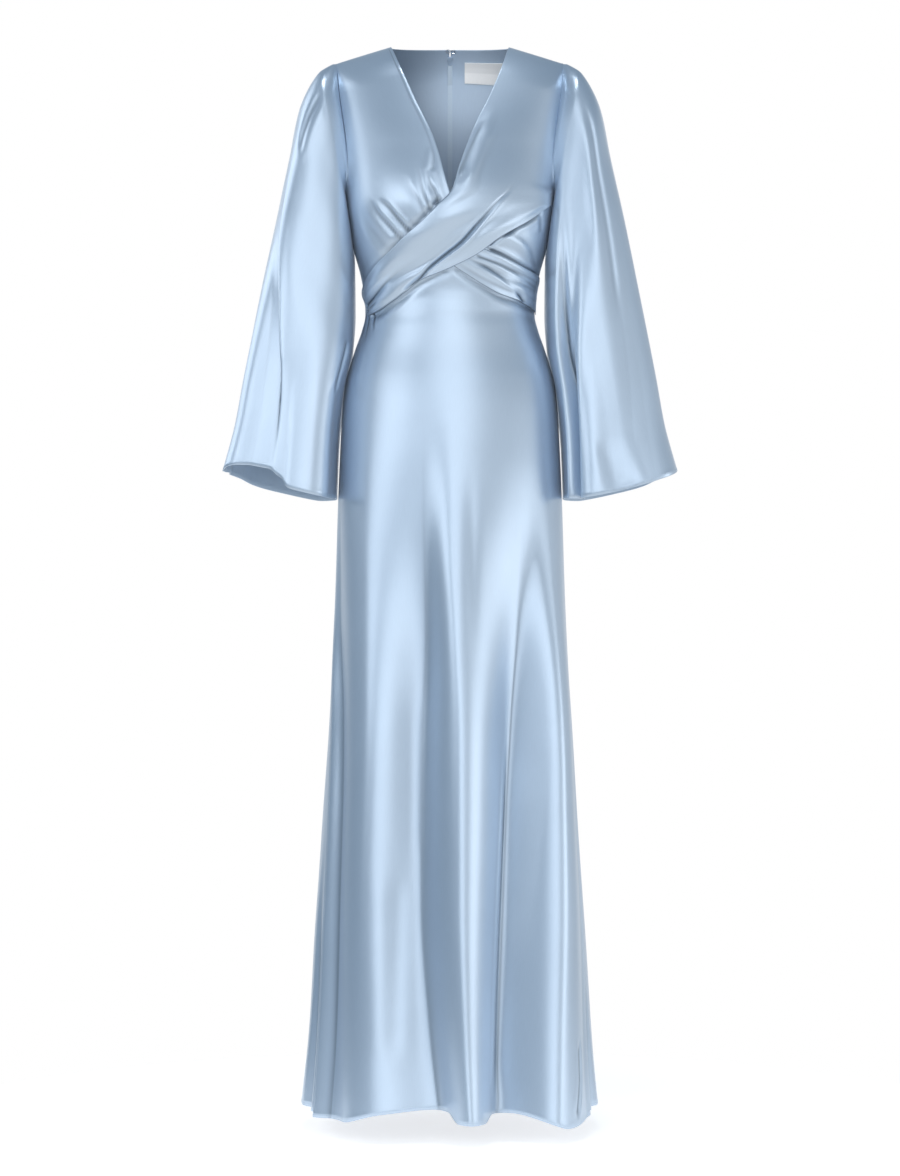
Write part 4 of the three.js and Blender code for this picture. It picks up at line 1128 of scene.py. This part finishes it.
class WrapDressSettings(bpy.types.PropertyGroup):
    cloth_thickness: bpy.props.FloatProperty(
        name="Cloth thickness", description="Thickness of the satin", default=0.0007, unit="LENGTH")
    hem_thickness: bpy.props.FloatProperty(
        name="Hem thickness", description="Thickness of the turned hem", default=0.0013, unit="LENGTH")
    satin_colour: bpy.props.FloatVectorProperty(
        name="Satin colour", description="Colour of the cloth", subtype="COLOR", size=3,
        default=(0.57, 0.68, 0.81))
    satin_metal: bpy.props.FloatProperty(
        name="Satin mirror", description="How much of its light the satin mirrors", default=0.7,
        subtype="FACTOR")
    satin_roughness: bpy.props.FloatProperty(
        name="Satin roughness", description="How blurred the satin's gloss is", default=0.34,
        subtype="FACTOR")
    lining_colour: bpy.props.FloatVectorProperty(
        name="Inside colour", description="Colour of the satin's dull inner side", subtype="COLOR", size=3,
        default=(0.45, 0.56, 0.69))
    floor_colour: bpy.props.FloatVectorProperty(
        name="Floor colour", description="Colour of the floor", subtype="COLOR", size=3,
        default=(0.90, 0.90, 0.90))


class DRESS_OT_over_wrap(bpy.types.Operator):
    """Over wrap with its draped band"""
    bl_idname = "dress.over_wrap"
    bl_label = "Over wrap"

    def execute(self, context):
        points = over_wrap_points()
        # Painted shadow lines along both rolled edges of the band, from about the foot of the neck opening on
        sewn(context, "front_over_wrap", points, -1, shade=edge_shade(points, OVER_RIM_START))
        return {"FINISHED"}


class DRESS_OT_under_wrap(bpy.types.Operator):
    """Under wrap with its pleats"""
    bl_idname = "dress.under_wrap"
    bl_label = "Under wrap"

    def execute(self, context):
        sewn(context, "front_under_wrap", under_wrap_points(), 1)
        return {"FINISHED"}


class DRESS_OT_waist(bpy.types.Operator):
    """Side front and under band"""
    bl_idname = "dress.waist"
    bl_label = "Side front and under band"

    def execute(self, context):
        sewn(context, "front_side", side_front_points(), -1)
        points = under_band_points()
        # Painted shadow lines along both rolled edges of the under band
        sewn(context, "under_band", points, 1, shade=edge_shade(points, BAND_RIM_START))
        return {"FINISHED"}


class DRESS_OT_backs(bpy.types.Operator):
    """Two upper back panels"""
    bl_idname = "dress.backs"
    bl_label = "Back panels"

    def execute(self, context):
        for side_name, sign in SIDES:
            sewn(context, f"back_{side_name}", back_points(sign), sign)
        return {"FINISHED"}


class DRESS_OT_skirt(bpy.types.Operator):
    """Skirt front and two skirt backs"""
    bl_idname = "dress.skirt"
    bl_label = "Skirt"

    def execute(self, context):
        sewn(context, "skirt_front", skirt_front_points(), -1, hem=True)
        for side_name, sign in SIDES:
            sewn(context, f"skirt_back_{side_name}", skirt_back_points(sign), sign, hem=True)
        return {"FINISHED"}


class DRESS_OT_sleeves(bpy.types.Operator):
    """Two flared sleeves"""
    bl_idname = "dress.sleeves"
    bl_label = "Sleeves"

    def execute(self, context):
        shapes = (
            (LEFT_SLEEVE_FOLDS, LEFT_SLEEVE_CREASES, None),
            (RIGHT_SLEEVE_FOLDS, RIGHT_SLEEVE_CREASES, RIGHT_SLEEVE_TUCK),
        )
        for (side_name, sign), shape in zip(SIDES, shapes):
            sewn(context, f"sleeve_{side_name}", sleeve_points(sign, *shape), sign, hem=True, closed=True)
        return {"FINISHED"}


class DRESS_OT_inside(bpy.types.Operator):
    """Finish of the zip strip, slider, pull tab, hook, eye and label"""
    bl_idname = "dress.inside"
    bl_label = "Zip and label"

    def execute(self, context):
        finishes = {
            "zip_strip": ("zip_tape", "zip_tape"),
            "zip_slider": ("painted_metal", "zip_metal"),
            "zip_pull_tab": ("painted_metal", "zip_metal"),
            "hook": ("zip_metal", "zip_metal"),
            "eye": ("zip_metal", "zip_metal"),
            "label": ("label_cloth", "label"),
        }
        for name, (look, slot) in finishes.items():
            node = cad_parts[name]
            node.data.materials.clear()
            node.data.materials.append(finish(look))
        return {"FINISHED"}


# Rows of stitches inside the back: distance from the centre, top, end, inset, pitch and length
INSIDE_ROWS = columns("x top end inset pitch long", [
    [-3.0, -19, -520, 4.35, 2.6, 2.0], [3.0, -19, -520, 4.35, 2.6, 2.0], [0, -19, -524, 4.35, 1.5, 1.2],
    [16.5, -14, -340, 0.8, 2.6, 2.0],
])
LABEL_EDGE = 1.4
LABEL_INSET = 3.2
LABEL_SLOPE = 0.062
TACK_LIFT = 3.5
TACK_HALF = 0.8
TACK_DROP = 0.6
TACK_PITCH = 2.8
TACK_LENGTH = 2.6
LABEL_PITCH = 2.2
LABEL_LENGTH = 1.6
ROW_POINTS = 120
LABEL_POINTS = 30
TACK = columns("phi z", [[-70, -358.6], [-69.5, -361], [-69, -363.4]])


class DRESS_OT_stitching(bpy.types.Operator):
    """Stitches of the hems, zip, label and gathered end"""
    bl_idname = "dress.stitching"
    bl_label = "Stitching"

    def execute(self, context):
        for name in SHAPES:
            if name.startswith(("skirt", "sleeve")):
                hem_stitches(name)
        for number, (x, top, end, inset, pitch, long) in enumerate(zip(*INSIDE_ROWS.values())):
            line, out = inside_line(x, np.linspace(top, end, ROW_POINTS), inset)
            stitches(f"inside_row_{number}", line, out, pitch, long)
        low, high = (np.array(corner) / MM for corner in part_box("label"))
        x = np.linspace(low[0] + LABEL_EDGE, high[0] - LABEL_EDGE, LABEL_POINTS)
        for number, z in enumerate((high[2] - LABEL_EDGE - LABEL_SLOPE * (x - x[0]),
                                    low[2] + LABEL_EDGE + LABEL_SLOPE * (x[-1] - x))):
            line, out = inside_line(x, z, LABEL_INSET)
            stitches(f"label_row_{number}", line, out, LABEL_PITCH, LABEL_LENGTH)
        for number, (phi, z) in enumerate(zip(*TACK.values())):
            ends = np.array([phi - TACK_HALF, phi + TACK_HALF])
            line = on_trunk(ends, np.array([z, z - TACK_DROP]), TACK_LIFT)
            stitches(f"tack_{number}", line, unit(line * [1, 1, 0]), TACK_PITCH, TACK_LENGTH, 2 * THREAD)
        return {"FINISHED"}


# Stage: the camera stands level in front of the dress's middle, 5 m away
CAMERA_DISTANCE = 5.0
CAMERA_Z = -0.743
PICTURE_HEIGHT = 1.6464
SENSOR = 36.0
FLOOR_Z = -1.497
FLOOR_RADIUS = 0.8
FLOOR_GLOW = 0.66
KEY_ANGLE = 75
SKY_DARK = (0.19, 0.26, 0.33)
SKY_BRIGHT = (0.85, 0.86, 0.86)
SKY_RIGHT = 0.62
# Where the sky's parts begin and are full: by height, by how far ahead of the key, and by how far behind
SKY_TOP = (0.50, 0.20)
SKY_FOOT = (-0.40, -0.14)
FLOOR_BAND = (-0.22, -0.50)
KEY_BAND = (0.15, 0.65)
BACK_BAND = (0.62, 0.96)
FLOOR_RINGS = (0.001, 0.3, 0.5, FLOOR_RADIUS)
FLOOR_SIDES = 64
TOP_TARGET = (0, 0, -0.1)
WHITE = (1, 1, 1, 1)
WARM = (1, 0.97, 0.94, 1)
TOP_LIGHT = (0, -0.75, 1.45)
TOP_SIZE = (0.7, 0.7)
TOP_POWER = 9
# A narrow light through the neck onto the inside of the back
NECK_LIGHT = (0.1, -3.2, 0.3)
NECK_TARGET = (0.032, 0.07, -0.03)
NECK_POWER = 235
NECK_CONE = 3.2
NECK_BLEND = 0.9
NECK_SIZE = 0.04
# Light panels: place, width, height and power; each faces the dress at its own height
PANELS = columns("x y z wide high watts", [
    [0.1, -4.6, 0.45, 2.6, 3.9, 43.5], [2.2, -1.0, -0.95, 1.8, 1.0, 7], [-1.8, 0.5, 0.45, 1.8, 1.5, 12],
    [-1.7, -1.8, -0.05, 1.6, 1.1, 9],
])


def floor_points():
    """The floor as a disc: rings of growing radius round a small middle one."""
    angle = np.linspace(0, 2 * np.pi, FLOOR_SIDES, endpoint=False)
    radius = np.array(FLOOR_RINGS)[:, None]
    return np.stack([radius * np.cos(angle), radius * np.sin(angle), 0 * radius * angle + FLOOR_Z], -1)


def smooth_range(nodes, value, low, high, most=1.0):
    """A value between 0 and most that rises smoothly as the given one goes from low to high."""
    return add(nodes, "ShaderNodeMapRange", interpolation_type="SMOOTHSTEP", Value=value, From_Min=low,
               From_Max=high, To_Max=most).outputs["Result"]


def studio_world():
    """Soft studio: a bright band low at the front right and behind, a pale floor all round, dark overhead
    and at the left. The camera itself sees plain white."""
    world = bpy.data.worlds.new("studio")
    world.use_nodes = True
    nodes = world.node_tree.nodes
    place = add(nodes, "ShaderNodeTexCoord").outputs["Generated"]
    split = add(nodes, "ShaderNodeSeparateXYZ", Vector=place)
    facing = add(nodes, "ShaderNodeVectorMath", operation="DOT_PRODUCT")
    feed(facing.inputs[0], place)
    feed(facing.inputs[1], (float(sin_deg(KEY_ANGLE)), -float(cos_deg(KEY_ANGLE)), 0))
    height = split.outputs["Z"]
    low = combined(nodes, "MULTIPLY", smooth_range(nodes, height, *SKY_TOP),
                   smooth_range(nodes, height, *SKY_FOOT))
    ahead = smooth_range(nodes, facing.outputs["Value"], *KEY_BAND, SKY_RIGHT)
    behind = smooth_range(nodes, split.outputs["Y"], *BACK_BAND)
    lit = combined(nodes, "MULTIPLY", low, combined(nodes, "MAXIMUM", ahead, behind))
    lit = combined(nodes, "MAXIMUM", lit, smooth_range(nodes, height, *FLOOR_BAND))
    tone = blended(nodes, lit, (*SKY_DARK, 1), (*SKY_BRIGHT, 1))
    seen = add(nodes, "ShaderNodeLightPath").outputs["Is Camera Ray"]
    background = next(node for node in nodes if node.type == "BACKGROUND")
    put(background, Color=blended(nodes, seen, tone, WHITE), Strength=1)
    return world


def floor_material(colour):
    material, nodes, shader = new_material("floor")
    put(shader, Base_Color=(*colour, 1), Roughness=0.9, Specular_IOR_Level=0.1, Emission_Color=WARM,
        Emission_Strength=FLOOR_GLOW)
    return material


def lamp_at(scene, data, place, target):
    """A lamp at a place, turned to its target."""
    lamp = bpy.data.objects.new(data.name, data)
    lamp.location = place
    lamp.rotation_euler = (Vector(target) - lamp.location).to_track_quat("-Z", "Y").to_euler()
    scene.collection.objects.link(lamp)
    return lamp


def light_panel(scene, name, place, target, size, watts):
    """A soft rectangular light that the camera doesn't see."""
    data = bpy.data.lights.new(name, "AREA")
    data.shape = "RECTANGLE"
    data.size, data.size_y = size
    data.energy = watts
    lamp_at(scene, data, place, target).visible_camera = False


class DRESS_OT_stage(bpy.types.Operator):
    """Floor, light and camera"""
    bl_idname = "dress.stage"
    bl_label = "Stage"

    def execute(self, context):
        scene = context.scene
        points = floor_points()
        rings, around = points.shape[:2]
        corner = np.arange(rings * around).reshape(rings, around)
        after = np.roll(corner, -1, axis=1)
        faces = np.stack([corner[:-1], corner[1:], after[1:], after[:-1]], -1).reshape(-1, 4)
        mesh = bpy.data.meshes.new("floor")
        mesh.from_pydata(points.reshape(-1, 3).tolist(), [], faces.tolist())
        floor = bpy.data.objects.new("floor", mesh)
        scene.collection.objects.link(floor)
        mesh.materials.append(floor_material(tuple(scene.wrap_dress.floor_colour)))
        for number, (x, y, z, wide, high, watts) in enumerate(zip(*PANELS.values())):
            light_panel(scene, f"panel_{number}", (x, y, z), (0, 0, z), (wide, high), watts)
        light_panel(scene, "top", TOP_LIGHT, TOP_TARGET, TOP_SIZE, TOP_POWER)
        data = bpy.data.lights.new("neck", "SPOT")
        data.energy = NECK_POWER
        data.spot_size = math.radians(NECK_CONE)
        data.spot_blend = NECK_BLEND
        data.shadow_soft_size = NECK_SIZE
        lamp_at(scene, data, NECK_LIGHT, NECK_TARGET)
        scene.world = studio_world()
        data = bpy.data.cameras.new("camera")
        data.sensor_fit = "AUTO"
        data.sensor_width = SENSOR
        data.lens = SENSOR * CAMERA_DISTANCE / PICTURE_HEIGHT
        camera = bpy.data.objects.new("camera", data)
        camera.location = (0, -CAMERA_DISTANCE, CAMERA_Z)
        camera.rotation_euler = (math.radians(90), 0, 0)
        scene.collection.objects.link(camera)
        scene.camera = camera
        scene.view_settings.view_transform = "Standard"
        return {"FINISHED"}


OPERATORS = (
    DRESS_OT_over_wrap, DRESS_OT_under_wrap, DRESS_OT_waist, DRESS_OT_backs, DRESS_OT_skirt,
    DRESS_OT_sleeves, DRESS_OT_inside, DRESS_OT_stitching, DRESS_OT_stage,
)


class DRESS_PT_panel(bpy.types.Panel):
    """The dress's settings and pieces"""
    bl_idname = "DRESS_PT_panel"
    bl_label = "Wrap dress"
    bl_space_type = "VIEW_3D"
    bl_region_type = "UI"
    bl_category = "Dress"

    def draw(self, context):
        for name in WrapDressSettings.__annotations__:
            self.layout.prop(context.scene.wrap_dress, name)
        for operator in OPERATORS:
            self.layout.operator(operator.bl_idname)


CLASSES = (WrapDressSettings, *OPERATORS, DRESS_PT_panel)


def register():
    for each in CLASSES:
        bpy.utils.register_class(each)
    bpy.types.Scene.wrap_dress = bpy.props.PointerProperty(type=WrapDressSettings)


def unregister():
    del bpy.types.Scene.wrap_dress
    for each in reversed(CLASSES):
        bpy.utils.unregister_class(each)


def main():
    register()
    for operator in OPERATORS:
        group, name = operator.bl_idname.split(".")
        getattr(getattr(bpy.ops, group), name)()


if __name__ == "__main__":
    main()
